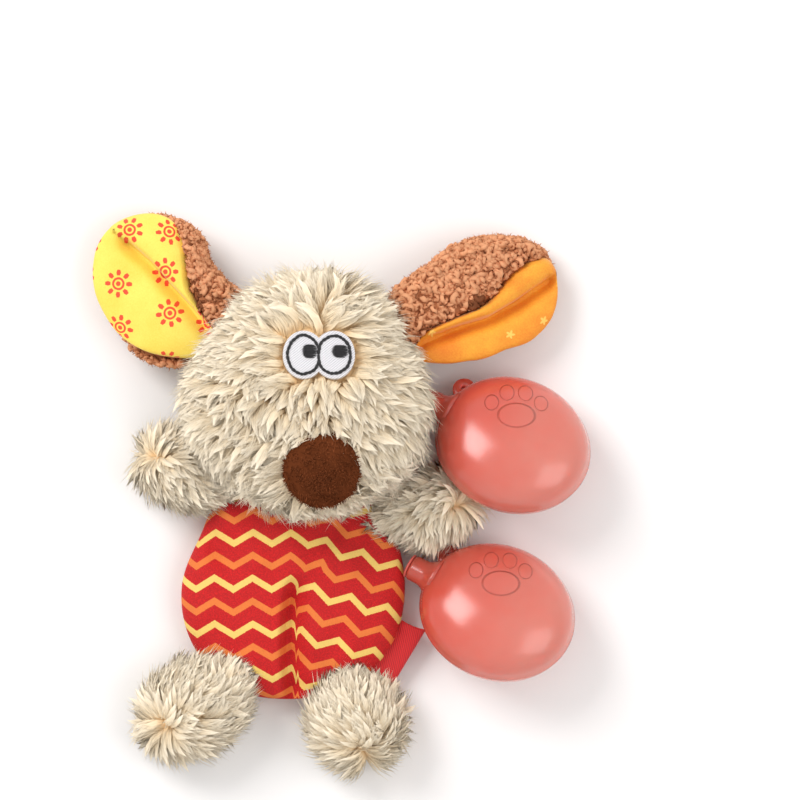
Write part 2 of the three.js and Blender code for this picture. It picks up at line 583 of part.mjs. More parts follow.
// A sheet folded along its length. Its X runs from the head to the tip and low and high are its two faces, over the
// face where the fleece and the lining meet.
function earSheet(ear, { low, high, inset }) {
  const [flat, arc, turnedOver] = EAR_ACROSS;
  const across = flat + arc + turnedOver;
  const length = EAR_LENGTH * ear.reach;
  const box = new THREE.BoxGeometry(1, 1, 1, EAR_ALONG, across, 1);
  const points = box.attributes.position;
  const widthAt = (share) => {
    const place = share * (EAR_WIDTH_SHARES.length - 1);
    const first = Math.min(EAR_WIDTH_SHARES.length - 2, Math.floor(place));
    return THREE.MathUtils.lerp(EAR_WIDTH_SHARES[first], EAR_WIDTH_SHARES[first + 1], place - first);
  };
  for (let i = 0; i < points.count; i++) {
    const share = points.getX(i) + 1 / 2;
    const strip = Math.round((points.getY(i) + 1 / 2) * across);
    const top = points.getZ(i) > 0;
    const whole = EAR_HALF_WIDTH * ear.wide * widthAt(share);
    const half = whole - inset;
    const foldAt = THREE.MathUtils.lerp(...ear.folds, share) * whole;
    const most = (EAR_ARC_SHARE * (whole - EAR_LINING_INSET - foldAt)) / EAR_FOLD_RADIUS;
    const opening = Math.min(1, share / EAR_OPENING_SHARE);
    const bend = Math.min(most, radians(THREE.MathUtils.lerp(...ear.bends, share ** EAR_BEND_POWER)) * opening);
    const arcEnd = foldAt + bend * EAR_FOLD_RADIUS;
    let v = THREE.MathUtils.lerp(-half, foldAt, strip / flat);
    if (strip > flat) v = THREE.MathUtils.lerp(foldAt, arcEnd, (strip - flat) / arc);
    if (strip > flat + arc) v = THREE.MathUtils.lerp(arcEnd, half, (strip - flat - arc) / turnedOver);
    const side = v / half;
    const tipBow = length * EAR_TIP_SHARE * (1 - side * side) * Math.max(0, 2 * share - 1);
    const u = share * (length * (1 - EAR_TIP_SHARE) - inset) + tipBow;
    const edge = Math.max(Math.abs(side), Math.max(0, 2 * share - 1));
    const full = EAR_RIM_SHARE + (1 - EAR_RIM_SHARE) * Math.sqrt(Math.max(0, 1 - edge ** 4));
    const outer = low < 0 ? low * full : high;
    const offset = low < 0 ? (top ? high : outer) : top ? low + (high - low) * full : low;
    const past = Math.max(0, v - foldAt);
    const angle = Math.min(bend, past / EAR_FOLD_RADIUS);
    const rest = Math.max(0, past - bend * EAR_FOLD_RADIUS);
    const radius = EAR_FOLD_RADIUS - offset;
    const middle = (whole - foldAt - EAR_FOLD_RADIUS) / 2 + ear.shift * EAR_HALF_WIDTH;
    const s = middle + Math.min(v, foldAt) + radius * Math.sin(angle) + rest * Math.cos(angle);
    const z = EAR_FOLD_RADIUS - radius * Math.cos(angle) + rest * Math.sin(angle);
    points.setXYZ(i, u, s * ear.flip, z - ear.droop * EAR_LENGTH * (u / EAR_LENGTH) ** EAR_DROOP_POWER);
  }
  return moved(solidOf(ear.flip < 0 ? flippedFaces(box) : box), earFrame(ear));
}

// A mirrored geometry with its faces turned to point out again.
function flippedFaces(geometry) {
  const index = geometry.index.array;
  for (let i = 0; i < index.length; i += 3) [index[i + 1], index[i + 2]] = [index[i + 2], index[i + 1]];
  return geometry;
}

function earPlace(ear, sink) {
  const [x, y] = polarOutline(HEAD_OUTLINE_SHARES, HEAD_HALF_WIDTH, HEAD_HALF_HEIGHT)(radians(ear.turn));
  const aim = radians(ear.aim);
  return [HEAD_X + x - sink * Math.cos(aim), headY + y - sink * Math.sin(aim), EAR_ROOT_Z];
}

const earFrame = (ear) => placed(...earPlace(ear, EAR_SINK), ear.aim);

function earPieces(ear) {
  const hinge = { at: earPlace(ear, EAR_HINGE_SINK), aim: ear.aim, range: ear.range };
  const fleece = earSheet(ear, { low: -EAR_FLEECE, high: 0, inset: 0 });
  const lining = earSheet(ear, { low: EAR_GAP, high: EAR_GAP + EAR_LINING, inset: EAR_LINING_INSET });
  const bed = earSheet(ear, {
    low: EAR_GAP - SEAM_GAP,
    high: EAR_GAP + 2 * EAR_LINING,
    inset: EAR_LINING_INSET,
  });
  const clear = (solid) => mainBody(clearTurning(solid, hinge, headClear));
  return { hinge, pieces: [[ear.name, clear(fleece.subtract(bed)), FLEECE], [ear.name + "_lining", clear(lining), ear.flip < 0 ? YELLOW_LINING : ORANGE_LINING]] };
}

const LIMB_SECTORS = 16;
const LIMB_RINGS = 10;
// A place on the body's side seam.
function edgePlace(turn) {
  const [x, y] = polarOutline(TORSO_OUTLINE_SHARES, TORSO_HALF_WIDTH, TORSO_HALF_HEIGHT)(radians(turn));
  return [TORSO_X + x, TORSO_Y + y, TORSO_SEAM_Z];
}

function limbForm(limb) {
  const [halfLength, halfWidth, height] = [limb.halfLength, limb.halfWidth, limb.height].map((share) => share * TORSO_HALF_HEIGHT);
  const form = softForm({
    outline: polarOutline(LIMB_OUTLINE_SHARES, halfLength, halfWidth),
    front: height / 2,
    back: height / 2,
    fullness: LIMB_FULLNESS,
    sectors: LIMB_SECTORS,
    rings: LIMB_RINGS,
  });
  const [x, y] = edgePlace(limb.turn);
  const aim = radians(limb.aim);
  const out = halfLength - LIMB_SINK;
  return moved(form, placed(x + out * Math.cos(aim), y + out * Math.sin(aim), height / 2 - FLAT_DEPTH, limb.aim));
}

const labelHinge = {
  at: edgePlace(LABEL_SIDE),
  aim: LABEL_TURN,
  range: LABEL_RANGE,
};
const labelOutside = RIBBON_SPACE / 2 + RIBBON;
const labelSwing = LABEL_REACH * Math.sin(radians(Math.max(...LABEL_RANGE))) + labelOutside;
const labelClear = moved(
  block(
    [-LABEL_SINK, -LABEL_WIDTH / 2 - SEAM_GAP, -labelSwing],
    [LABEL_REACH + SEAM_GAP, LABEL_WIDTH / 2 + SEAM_GAP, labelSwing],
  ),
  placed(...labelHinge.at, labelHinge.aim),
);

function limbPiece(limb) {
  const hinge = { at: edgePlace(limb.turn), aim: limb.aim, range: limb.range };
  let solid = clearTurning(limbForm(limb), hinge, torsoClear);
  solid = clearTurning(solid, hinge, headClear);
  if (limb.name.startsWith("arm")) {
    solid = clearOfTurning(solid, headClear, neck);
    solid = clearTurning(solid, hinge, turned(headClear, neck, Math.max(...neck.range)));
  }
  if (limb.name === "arm_right") {
    solid = clearTurning(solid, hinge, moved(spareRoom, upperSpare));
    solid = clearTurning(solid, hinge, moved(spareRoom, lowerSpare));
  }
  if (limb.name === "leg_right") solid = clearTurning(solid, hinge, labelClear);
  return { hinge, piece: [limb.name, mainBody(solid.intersect(above(0))), PLUSH] };
}

// The head: two panels that meet in a side seam, over a thin pouch that is open at the back.
function headPieces() {
  const inner = PLUSH_THICKNESS;
  const shell = headForm().subtract(headForm(-inner));
  const flapAt = placed(HEAD_X, mouthY, 0, 0);
  const depth = headSeamZ / 2;
  const prism = (width, height, corner) => moved(plate(roundedPoints(width, height, corner), -OVERRUN, depth), flapAt);
  const flapPrism = prism(FLAP_WIDTH, FLAP_HEIGHT, FLAP_CORNER);
  const bedPrism = prism(FLAP_WIDTH + 2 * FLAP_ROOM, FLAP_HEIGHT + 2 * FLAP_ROOM, FLAP_CORNER + FLAP_ROOM);
  const mouth = moved(prism(MOUTH_WIDTH, MOUTH_HEIGHT, MOUTH_HEIGHT / 2 - SEAM_GAP), placed(0, MOUTH_RISE, 0, 0));
  const tapeY = -(FLAP_HEIGHT - TAPE_HEIGHT) / 2 + TAPE_ROOM;
  const tapeAt = placed(HEAD_X, mouthY + tapeY, 0, 0);
  const tapePrism = (grow) => moved(plate(roundedPoints(TAPE_WIDTH + 2 * grow, TAPE_HEIGHT + 2 * grow, grow + SEAM_GAP), -OVERRUN, depth), tapeAt);
  const layer = (outer, deep) => headForm(-outer).subtract(headForm(-deep));
  const flapIn = FLAP_LIFT + FLAP_THICKNESS;
  const hookIn = flapIn + HOOK_THICKNESS;
  const loopIn = hookIn + LOOP_THICKNESS;
  const bed = bedPrism.subtract(headForm(-flapIn - TAPE_GAP));
  const tapeBed = tapePrism(TAPE_ROOM).subtract(headForm(-loopIn - TAPE_GAP));
  const eyeSet = eyes();
  const back = shell
    .intersect(below(headSeamZ - SEAM_GAP / 2))
    .intersect(above(0))
    .subtract(mouth)
    .subtract(bed)
    .subtract(tapeBed);
  const front = shell.intersect(above(headSeamZ + SEAM_GAP / 2)).subtract(noseBall(SEAM_GAP)).subtract(eyeSet.pocket);
  const lining = (grow) => headForm(-inner - grow, POUCH_SECTORS, POUCH_RINGS);
  const pouch = lining(POUCH_GAP).subtract(lining(POUCH_GAP + LINER_THICKNESS)).subtract(mouth);
  const flap = layer(FLAP_LIFT, flapIn).intersect(flapPrism).intersect(above(FLAP_FLOOR));
  const hook = layer(flapIn + TAPE_GAP, hookIn).intersect(tapePrism(0));
  const loop = layer(hookIn + TAPE_GAP, loopIn).intersect(tapePrism(0));
  const bulbZ = headSeamZ - (HEAD_BACK - inner - POUCH_GAP - LINER_THICKNESS) + SEAM_GAP + BULB_HALF_THICKNESS;
  const bulbAt = placed(HEAD_X - BULB_NECK_LENGTH / 2, headY, bulbZ, 0);
  return [
    ["head_front_panel", mainBody(headCut(front)), PLUSH],
    ["head_back_panel", mainBody(headCut(back)), PLUSH],
    ["squeaker_pouch", mainBody(clearTurning(pouch, neck, torsoClear)), FIBRE],
    ["pocket_flap", mainBody(flap), PLUSH],
    ["pocket_hook_tape", mainBody(hook), TAPE],
    ["pocket_loop_tape", mainBody(loop), TAPE],
    ...eyeSet.pieces,
    ...nose(),
    ...squeakerPieces("head_squeaker", bulbAt),
  ];
}

// The body: a flat bag of two panels.
function torsoPieces() {
  const shell = torsoForm().subtract(torsoForm(-TORSO_CLOTH));
  const front = shell.intersect(above(TORSO_SEAM_Z + SEAM_GAP / 2));
  const back = shell.intersect(below(TORSO_SEAM_Z - SEAM_GAP / 2)).intersect(above(0));
  return [
    ["body_front_panel", mainBody(front), PRINT],
    ["body_back_panel", mainBody(back), PRINT],
  ];
}

// The side label: a ribbon folded double, with its ends in the seam.
function labelPiece() {
  const inside = RIBBON_SPACE / 2;
  const outside = labelOutside;
  const middle = LABEL_REACH - outside;
  const fold = (radius, way) =>
    Array.from({ length: FOLD_STEPS + 1 }, (_, i) => {
      const angle = way * Math.PI * (i / FOLD_STEPS - 1 / 2);
      return [middle + radius * Math.cos(angle), radius * Math.sin(angle)];
    });
  const profile = [
    [-LABEL_SINK, -outside],
    ...fold(outside, 1),
    [-LABEL_SINK, outside],
    [-LABEL_SINK, inside],
    ...fold(inside, -1),
    [-LABEL_SINK, -inside],
  ];
  const upright = new THREE.Matrix4().makeRotationX(Math.PI / 2).setPosition(0, LABEL_WIDTH / 2, 0);
  const ribbon = moved(plate(profile, 0, LABEL_WIDTH), placed(...labelHinge.at, labelHinge.aim).multiply(upright));
  return ["side_label", mainBody(clearTurning(ribbon, labelHinge, torsoClear)), RIBBON_RED];
}

const part = new THREE.Group();
const add = ([name, solid, finish]) => part.add(meshOf(name, solid, finish));

headPieces().forEach(add);
torsoPieces().forEach(add);
EARS.forEach((ear) => earPieces(ear).pieces.forEach(add));
LIMBS.forEach((limb) => add(limbPiece(limb).piece));
add(labelPiece());
squeakerPieces("spare_squeaker_upper", upperSpare).forEach(add);
squeakerPieces("spare_squeaker_lower", lowerSpare).forEach(add);

export default part;
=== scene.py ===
"""A small plush dog toy lying on its back, with a squeaker in its head and two spare squeakers beside it.

Shapes are worked out in millimetres, round the frame's origin, and made metres when a piece is finished.
"""

import math
import random

import bmesh
import bpy
from mathutils import Matrix, Vector, kdtree, noise


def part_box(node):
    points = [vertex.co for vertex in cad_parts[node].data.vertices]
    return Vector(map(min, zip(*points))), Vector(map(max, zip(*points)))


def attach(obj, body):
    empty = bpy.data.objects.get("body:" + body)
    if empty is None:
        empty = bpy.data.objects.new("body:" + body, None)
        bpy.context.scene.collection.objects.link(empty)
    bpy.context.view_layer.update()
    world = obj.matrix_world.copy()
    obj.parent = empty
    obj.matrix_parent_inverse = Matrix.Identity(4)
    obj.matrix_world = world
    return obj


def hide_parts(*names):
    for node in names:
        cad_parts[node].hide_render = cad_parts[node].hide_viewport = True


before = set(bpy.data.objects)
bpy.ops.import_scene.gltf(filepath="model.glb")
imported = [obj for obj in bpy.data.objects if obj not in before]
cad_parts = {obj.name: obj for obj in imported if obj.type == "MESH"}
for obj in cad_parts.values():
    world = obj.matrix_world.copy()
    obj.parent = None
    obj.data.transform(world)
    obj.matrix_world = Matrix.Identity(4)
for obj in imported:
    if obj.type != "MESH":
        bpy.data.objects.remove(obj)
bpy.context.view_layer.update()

MM = 0.001
noise.seed_set(7)  # without a seed, noise_vector differs from run to run
SURFACE = 0.2  # nothing of the toy goes under this level

# Head
HEAD_AT = Vector((3.9, 60.6, 19.5))
HEAD_HALF = (37.5, 36.9)
HEAD_FRONT = 22
HEAD_BACK = 20
HEAD_FULLNESS = 0.62
HEAD_SHARES = [0.98, 0.93, 1.02, 1, 0.96, 0.9, 0.99, 1, 0.97, 0.99, 1, 1.02]
MUZZLE_RISE = 4
MUZZLE_SPREAD = 15
NOSE_PLACE = (5.1, -22.14)  # from the head's middle
EYE_PLACE = (4.125, 12.177)
EYE_APART = 4.5  # from the middle between the eyes to each
PATCH_HALF = (6.25, 7.25)
POCKET_Y = 55.434
PILE_ROOM = 7.2  # how far the woven backing lies in from the side of the pile
FACE_ROOM = 3.0  # how far it lies under the pile that is combed flat on the face

# Body
BODY_AT = Vector((-0.3, 2.7, 6))
BODY_HALF = (33.9, 33.3)
BODY_FRONT = 9
BODY_BACK = 6.5
BODY_SHARES = [1, 1.03, 1.12, 1, 1.09, 0.95, 0.99, 1.03, 1.05, 1.01, 1.03, 1.02]
BODY_FULLNESS = 0.72
LIMB_SHARES = [1, 1.02, 1.04, 1, 0.96, 0.9, 0.92, 0.9, 0.96, 1, 1.04, 1.02]
NOSE_SHARES = [1, 1.02, 1, 1, 1.04, 1.02, 1, 0.99, 1]


# -------- forms


def smooth(value, low, high):
    """0 before low, 1 after high, and an even change between them."""
    share = min(1, max(0, (value - low) / (high - low)))
    return share * share * (3 - 2 * share)


def mix(a, b, share):
    return a + (b - a) * share


def swell(x, y, spread):
    return math.exp(-(x * x + y * y) / (spread * spread))


def outline(shares, half_width, half_height, grow=0):
    """A smooth closed curve in plan through radius shares at even angles."""
    count = len(shares)

    def rim(angle):
        place = (angle / (2 * math.pi) * count) % count
        first = int(place)
        a, b, c, d = (shares[(first + step) % count] for step in (-1, 0, 1, 2))
        t = place - first
        share = b + t * (c - a + t * (2 * a - 5 * b + 4 * c - d + t * (3 * (b - c) + d - a))) / 2
        return math.cos(angle) * (half_width * share + grow), math.sin(angle) * (half_height * share + grow)

    return rim


class Form:
    """A stuffed shape: a ball whose rim takes an outline and whose poles take the heights in front and behind."""

    def __init__(self, rim, front, back, fullness, place, lift=None):
        self.rim, self.front, self.back, self.fullness = rim, front, back, fullness
        self.place, self.lift = place, lift

    def at(self, ball):
        """The point of the shape that a point of the unit ball goes to."""
        reach = math.hypot(ball.x, ball.y)
        rim_x, rim_y = self.rim(math.atan2(ball.y, ball.x))
        x, y = rim_x * reach, rim_y * reach
        z = abs(ball.z) ** self.fullness * (self.front if ball.z > 0 else -self.back)
        if self.lift and ball.z > 0:
            z += self.lift(x, y) * min(1, 2 * ball.z)
        return self.place @ Vector((x, y, z))

    def reach(self, x, y):
        """How far out a place in the form's own plan lies: 0 in the middle and 1 at the rim."""
        return math.hypot(x, y) / max(1e-6, math.hypot(*self.rim(math.atan2(y, x))))

    def normal(self, ball):
        side = ball.orthogonal().normalized()
        other = ball.cross(side)
        step = 0.02
        along = self.at((ball + side * step).normalized()) - self.at((ball - side * step).normalized())
        across = self.at((ball + other * step).normalized()) - self.at((ball - other * step).normalized())
        return along.cross(across).normalized()

    def mesh(self, sectors, rings, keep=None):
        """The shape as a closed mesh, or the part of it where keep(point of the ball) holds."""
        bm = bmesh.new()
        bmesh.ops.create_uvsphere(bm, u_segments=sectors, v_segments=rings, radius=1)
        if keep:
            lost = [face for face in bm.faces if not keep(face.calc_center_median())]
            bmesh.ops.delete(bm, geom=lost, context="FACES")
        for vertex in bm.verts:
            vertex.co = self.at(vertex.co.normalized())
        return bm


def turned(x, y, z, degrees=0):
    return Matrix.Translation((x, y, z)) @ Matrix.Rotation(math.radians(degrees), 4, "Z")


def muzzle(x, y):
    return MUZZLE_RISE * swell(x - NOSE_PLACE[0], y - NOSE_PLACE[1], MUZZLE_SPREAD)


def head_form(grow):
    rim = outline(HEAD_SHARES, *HEAD_HALF, grow)
    return Form(rim, HEAD_FRONT + grow, HEAD_BACK + grow, HEAD_FULLNESS, turned(*HEAD_AT), muzzle)


def body_lift(x, y):
    """The fold down the middle of the body and the slack places beside it."""
    fold_x = 2 * math.sin(math.pi * y / BODY_HALF[1])
    along = min(1, max(0, (8.3 - y) / 7))
    fold = -5 * along * swell(x - fold_x, 0, 4)
    slack = -2.4 * swell(x + 16.95, y - 13.3, 7) - 1.2 * swell(x - 14, y - 18, 6) - 0.8 * swell(x - 19, y + 8, 7)
    return fold + slack


def body_form(grow=0):
    rim = outline(BODY_SHARES, *BODY_HALF, grow)
    return Form(rim, BODY_FRONT + grow, BODY_BACK + grow, BODY_FULLNESS, turned(*BODY_AT), body_lift)


def height_on(form, x, y):
    """Height of a form's front over a place in plan, in the form's own frame, or None outside its rim."""
    x, y = x - form.place.translation.x, y - form.place.translation.y
    reach = form.reach(x, y)
    if reach >= 1:
        return None
    high = math.sqrt(1 - reach * reach)
    rise = high**form.fullness * form.front
    if form.lift:
        rise += form.lift(x, y) * min(1, 2 * high)
    return form.place.translation.z + rise


def on_head(x, y):
    """The frame of something laid on the face: its origin on the surface and Z along the surface's normal."""

    def rise(px, py):
        rim_x, rim_y = outline(HEAD_SHARES, *HEAD_HALF)(math.atan2(py / HEAD_HALF[1], px / HEAD_HALF[0]))
        reach = min(1, math.hypot(px, py) / math.hypot(rim_x, rim_y))
        return HEAD_FRONT * (1 - reach * reach) ** (HEAD_FULLNESS / 2) + muzzle(px, py)

    slope_x, slope_y = rise(x + 0.5, y) - rise(x - 0.5, y), rise(x, y + 0.5) - rise(x, y - 0.5)
    normal = Vector((-slope_x, -slope_y, 1)).normalized()
    turn = Vector((0, 0, 1)).rotation_difference(normal).to_matrix().to_4x4()
    return Matrix.Translation(HEAD_AT + Vector((x, y, rise(x, y)))) @ turn


# -------- pieces


def pile_normal(own, cloth):
    forward = min(1, max(-1, 2 * cloth.z + 1.3))
    return (own * 0.3 + cloth * 0.5 + Vector((0, 0, 0.45 * forward))).normalized()


def made_mesh(bm, name):
    mesh = bpy.data.meshes.new(name)
    bm.to_mesh(mesh)
    bm.free()
    return mesh


def mark(bm, **values):
    """Gives every vertex these values, which the finishes read."""
    for label, value in values.items():
        layer = bm.verts.layers.float.new(label)
        for vertex in bm.verts:
            vertex[layer] = value


def lay_print(bm, place):
    """Gives each corner of the mesh its place on the UV map."""
    flat = bm.loops.layers.uv.new("UVMap")
    for face in bm.faces:
        for loop in face.loops:
            loop[flat].uv = place(loop.vert)


def finish(bm, name, body, nodes, surface, flat=False, pile=None):
    """Turns a mesh in millimetres into the piece that stands for these nodes and rides on that body.

    pile may hold, for each vertex, the normal of the cloth that its strand grows from. The pile is shaded mostly along
    it, because light passes from strand to strand.
    """
    bm.normal_update()
    mesh = made_mesh(bm, name)
    mesh.transform(Matrix.Scale(MM, 4))
    if not flat:
        mesh.shade_smooth()
    if pile:
        own = [vertex.normal.copy() for vertex in mesh.vertices]
        soft = [pile_normal(normal, cloth) if cloth else normal for normal, cloth in zip(own, pile)]
        mesh.normals_split_custom_set_from_vertices(soft)
    mesh.materials.append(surface)
    piece = bpy.data.objects.new(name, mesh)
    bpy.context.scene.collection.objects.link(piece)
    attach(piece, body)
    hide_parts(*nodes)
    return piece


def keep_above(bm, level=SURFACE):
    for vertex in bm.verts:
        vertex.co.z = max(vertex.co.z, level)


def lay_over(bm, form, room):
    """Lifts what has sunk into a form back over its front."""
    for vertex in bm.verts:
        top = height_on(form, vertex.co.x, vertex.co.y)
        if top is not None and form.place.translation.z - 1 < vertex.co.z < top + room:
            vertex.co.z = top + room


# -------- long pile

STRAND_STEPS = 3
LEAF_STEPS = 4


def cone_mesh(sides, steps):
    """One straight tapering bundle of fibres, 1 long and 1 in radius, cut across into steps."""
    bm = bmesh.new()
    made = bmesh.ops.create_cone(bm, cap_ends=False, segments=sides, radius1=1, radius2=0, depth=1)
    bmesh.ops.translate(bm, verts=made["verts"], vec=(0, 0, 0.5))
    for step in range(1, steps):
        place = (0, 0, step / steps)
        whole = bm.verts[:] + bm.edges[:] + bm.faces[:]
        bmesh.ops.bisect_plane(bm, geom=whole, plane_co=place, plane_no=(0, 0, 1))
    return made_mesh(bm, "bundle")


def leaf_width(t):
    """The width of a lock along its length: narrow at the cloth, full soon after, and pointed."""
    return (0.55 + 0.45 * smooth(t, 0, 0.35)) * max(0.0, 1 - t**2.4) ** 0.8


def lock_mesh(seed, length, half_width, lean):
    """A lock of pile that leans towards +X: a flat bundle of fibres that lie together, and three loose strands."""
    rng = random.Random(seed)
    bm = bmesh.new()
    tip, tone, across = (bm.verts.layers.float.new(label) for label in ("tip", "tone", "across"))
    phase, bow, shade = rng.uniform(0, 6.28), rng.uniform(-0.45, 0.45), rng.random()
    for part in range(4):
        before = len(bm.verts)
        flat, steps = part == 0, LEAF_STEPS if part == 0 else STRAND_STEPS
        bm.from_mesh(BUNDLE if flat else STRAND)
        bm.verts.ensure_lookup_table()
        beside = 0 if flat else rng.choice((-1, 1)) * rng.uniform(0.3, 1.0) * half_width
        reach = length * rng.uniform(0.85, 1.05) * (1 if flat else 1.06)
        swing = math.radians(rng.uniform(-6, 6) if flat else rng.uniform(-20, 4))
        turn = math.radians(rng.uniform(-24, 24))
        own = shade if flat else rng.random()
        centres, here = [], Vector((0, beside, 0))
        for step in range(steps + 1):
            centres.append(here.copy())
            t = (step + 0.5) / steps
            theta = math.radians(lean) * min(1, t) ** 0.6 + swing
            side = 0.25 * math.sin(phase + 4 * t) + bow * t - beside * 0.08
            here = here + Vector((math.sin(theta), side, math.cos(theta))).normalized() * (reach / steps)
        for vertex in bm.verts[before:]:
            t = min(1, max(0, vertex.co.z))
            low = min(steps - 1, int(t * steps + 1e-4))
            centre = centres[low].lerp(centres[low + 1], t * steps - low)
            way = (centres[low + 1] - centres[low]).normalized()
            broad = Vector((0, 1, 0)).cross(way).cross(way).normalized()
            up = way.cross(broad).normalized()
            broad, up = broad * math.cos(turn) + up * math.sin(turn), up * math.cos(turn) - broad * math.sin(turn)
            x, y = (vertex.co.x / (1 - t), vertex.co.y / (1 - t)) if t < 0.999 else (0, 0)
            if flat:
                offset = broad * (x * half_width * leaf_width(t)) + up * (y * half_width * 0.3 * (1 - t * t))
            else:
                offset = (broad * x + up * y) * 0.17 * (1 - t) ** 0.6
            vertex.co = centre + offset
            vertex[tip], vertex[tone], vertex[across] = t, own, x
    return made_mesh(bm, "lock")


def nap_mesh(seed):
    """One short fibre bundle of a close-cut pile, 1.3 long, that leans towards +X."""
    rng = random.Random(seed)
    bm = bmesh.new()
    bm.from_mesh(STRAND)
    tip, tone, across = (bm.verts.layers.float.new(label) for label in ("tip", "tone", "across"))
    lean, shade = rng.uniform(0.3, 0.8), rng.random()
    for vertex in bm.verts:
        t = min(1, max(0, vertex.co.z))
        vertex.co = (vertex.co.x * 0.16 + 1.3 * t * t * lean, vertex.co.y * 0.22, 1.3 * t * (1 - 0.3 * lean * t))
        # tip runs from 0.2 to 1 along the bundle, so its root takes the painted shade of the pile
        vertex[tip], vertex[tone], vertex[across] = 0.2 + 0.8 * t, shade, 0
    return made_mesh(bm, "nap")


LEANS = (28, 50, 68, 82)  # in degrees from the cloth's normal
TUFT = 6  # locks to a tuft
KINDS = 8  # locks of each lean to choose from


def lock_set(seed, length, half_width):
    return [
        [lock_mesh(seed + 100 * i + k, length, half_width, lean) for k in range(KINDS)] for i, lean in enumerate(LEANS)
    ]


def chance(rng, most):
    return Vector([rng.uniform(-most, most) for _ in range(3)])


def stand_on(point, normal, lean_to, size):
    """The frame of something that grows from a point along a normal and leans towards a direction."""
    side = normal.cross(lean_to)
    side = side.normalized() if side.length > 1e-4 else normal.orthogonal().normalized()
    towards = side.cross(normal)
    turn = Matrix((towards, side, normal)).transposed().to_4x4()
    return Matrix.Translation(point) @ turn @ Matrix.Diagonal((size, size, size, 1))


def put(bm, shape, place):
    copy = shape.copy()
    copy.transform(place)
    bm.from_mesh(copy)
    bpy.data.meshes.remove(copy)


def spread_places(form, count, seed, keep):
    """Points evenly spread over a form, with their normals and the ball points that they come from."""
    rng = random.Random(seed)
    places = []
    golden = math.pi * (3 - math.sqrt(5))
    for i in range(count):
        z = 1 - (2 * i + 1) / count
        z = max(-1, min(1, z + rng.uniform(-0.9, 0.9) / count))
        angle = i * golden + rng.uniform(-1, 1) * 1.2 / math.sqrt(count)
        flat = math.sqrt(max(0, 1 - z * z))
        ball = Vector((flat * math.cos(angle), flat * math.sin(angle), z))
        point = form.at(ball)
        if keep(ball, point):
            places.append((point, form.normal(ball), ball))
    return places


def grow_pile(bm, places, locks, length, seed, flow, lean_of):
    """Sets a lock of pile on each place. flow gives the way that it lies and lean_of how far it lies over.

    Neighbouring locks lean towards one tip, as a tuft. Also gives the normal of the cloth for each vertex, or None.
    """
    rng = random.Random(seed)
    cloth = [None] * len(bm.verts)
    tufts = kdtree.KDTree(len(places) // TUFT)
    tips = []
    for point, normal, ball in rng.sample(places, len(places) // TUFT):
        lie = flow(point).normalized() + noise.noise_vector(point * 0.08 + Vector((seed, 0, 0))) * 0.8
        lie = lie + chance(rng, 0.4)
        lie = (lie - normal * lie.dot(normal)).normalized()
        lean = math.radians(lean_of(point, ball) + rng.uniform(-10, 10))
        tips.append(point + (lie * math.sin(lean) + normal * math.cos(lean)) * length * rng.uniform(0.9, 1.15))
        tufts.insert(point, len(tips) - 1)
    tufts.balance()
    for point, normal, ball in places:
        way = tips[tufts.find(point)[1]] - point
        lie = way + chance(rng, 0.16) * length
        lean = math.degrees(lie.angle(normal)) * 1.2
        kind = min(range(len(LEANS)), key=lambda i: abs(LEANS[i] - lean))
        size = min(1.2, max(0.75, way.length / length)) * rng.uniform(0.9, 1.08)
        put(bm, rng.choice(locks[kind]), stand_on(point, normal, lie, size))
        cloth += [normal] * (len(bm.verts) - len(cloth))
    return cloth


# -------- finishes


def paint(red, green, blue):
    """A colour as seen, in the light values that a shader mixes."""
    return tuple(c / 12.92 if c <= 0.04045 else ((c + 0.055) / 1.055) ** 2.4 for c in (red, green, blue)) + (1,)


def fill(tree, made, values):
    """Gives a node's inputs their values, or links them to what works them out."""
    for socket, value in dict(values).items():
        value = getattr(value, "socket", value)
        if isinstance(value, bpy.types.NodeSocket):
            tree.links.new(value, made.inputs[socket])
        else:
            made.inputs[socket].default_value = value
    return made


def node(tree, kind, inputs=(), **settings):
    made = tree.nodes.new(kind)
    for key, value in settings.items():
        setattr(made, key, value)
    return fill(tree, made, inputs)


class Number:
    """A number that a shader's nodes work out."""

    def __init__(self, tree, socket):
        self.tree, self.socket = tree, socket

    def __add__(self, other):
        return calc(self.tree, "ADD", self, other)

    def __sub__(self, other):
        return calc(self.tree, "SUBTRACT", self, other)

    def __mul__(self, other):
        return calc(self.tree, "MULTIPLY", self, other)

    def __truediv__(self, other):
        return calc(self.tree, "DIVIDE", self, other)

    def __abs__(self):
        return calc(self.tree, "ABSOLUTE", self)

    def times_plus(self, factor, more):
        return calc(self.tree, "MULTIPLY_ADD", self, factor, more)

    def step(self, low, high):
        """0 at low and 1 at high, with a soft edge. low may be the larger."""
        inputs = {"Value": self, "From Min": low, "From Max": high, "To Min": 0.0, "To Max": 1.0}
        made = node(self.tree, "ShaderNodeMapRange", inputs, interpolation_type="SMOOTHSTEP")
        return Number(self.tree, made.outputs[0])


def calc(tree, operation, *values, clamp=False):
    made = node(tree, "ShaderNodeMath", dict(enumerate(values)), operation=operation, use_clamp=clamp)
    return Number(tree, made.outputs[0])


def calc_vector(tree, operation, *values, **inputs):
    made = node(tree, "ShaderNodeVectorMath", {**dict(enumerate(values)), **inputs}, operation=operation)
    return made.outputs["Value" if operation == "LENGTH" else 0]


def axes_of(tree, vector):
    made = node(tree, "ShaderNodeSeparateXYZ", {"Vector": vector})
    return [Number(tree, made.outputs[axis]) for axis in "XYZ"]


def own_value(tree, label):
    """A number that each vertex carries."""
    return Number(tree, node(tree, "ShaderNodeAttribute", attribute_name=label).outputs["Fac"])


def blend_colours(tree, share, first, second, kind="MIX"):
    first, second = (paint(*colour) if isinstance(colour, tuple) else colour for colour in (first, second))
    inputs = {0: share, 6: first, 7: second}
    return node(tree, "ShaderNodeMix", inputs, data_type="RGBA", blend_type=kind).outputs[2]


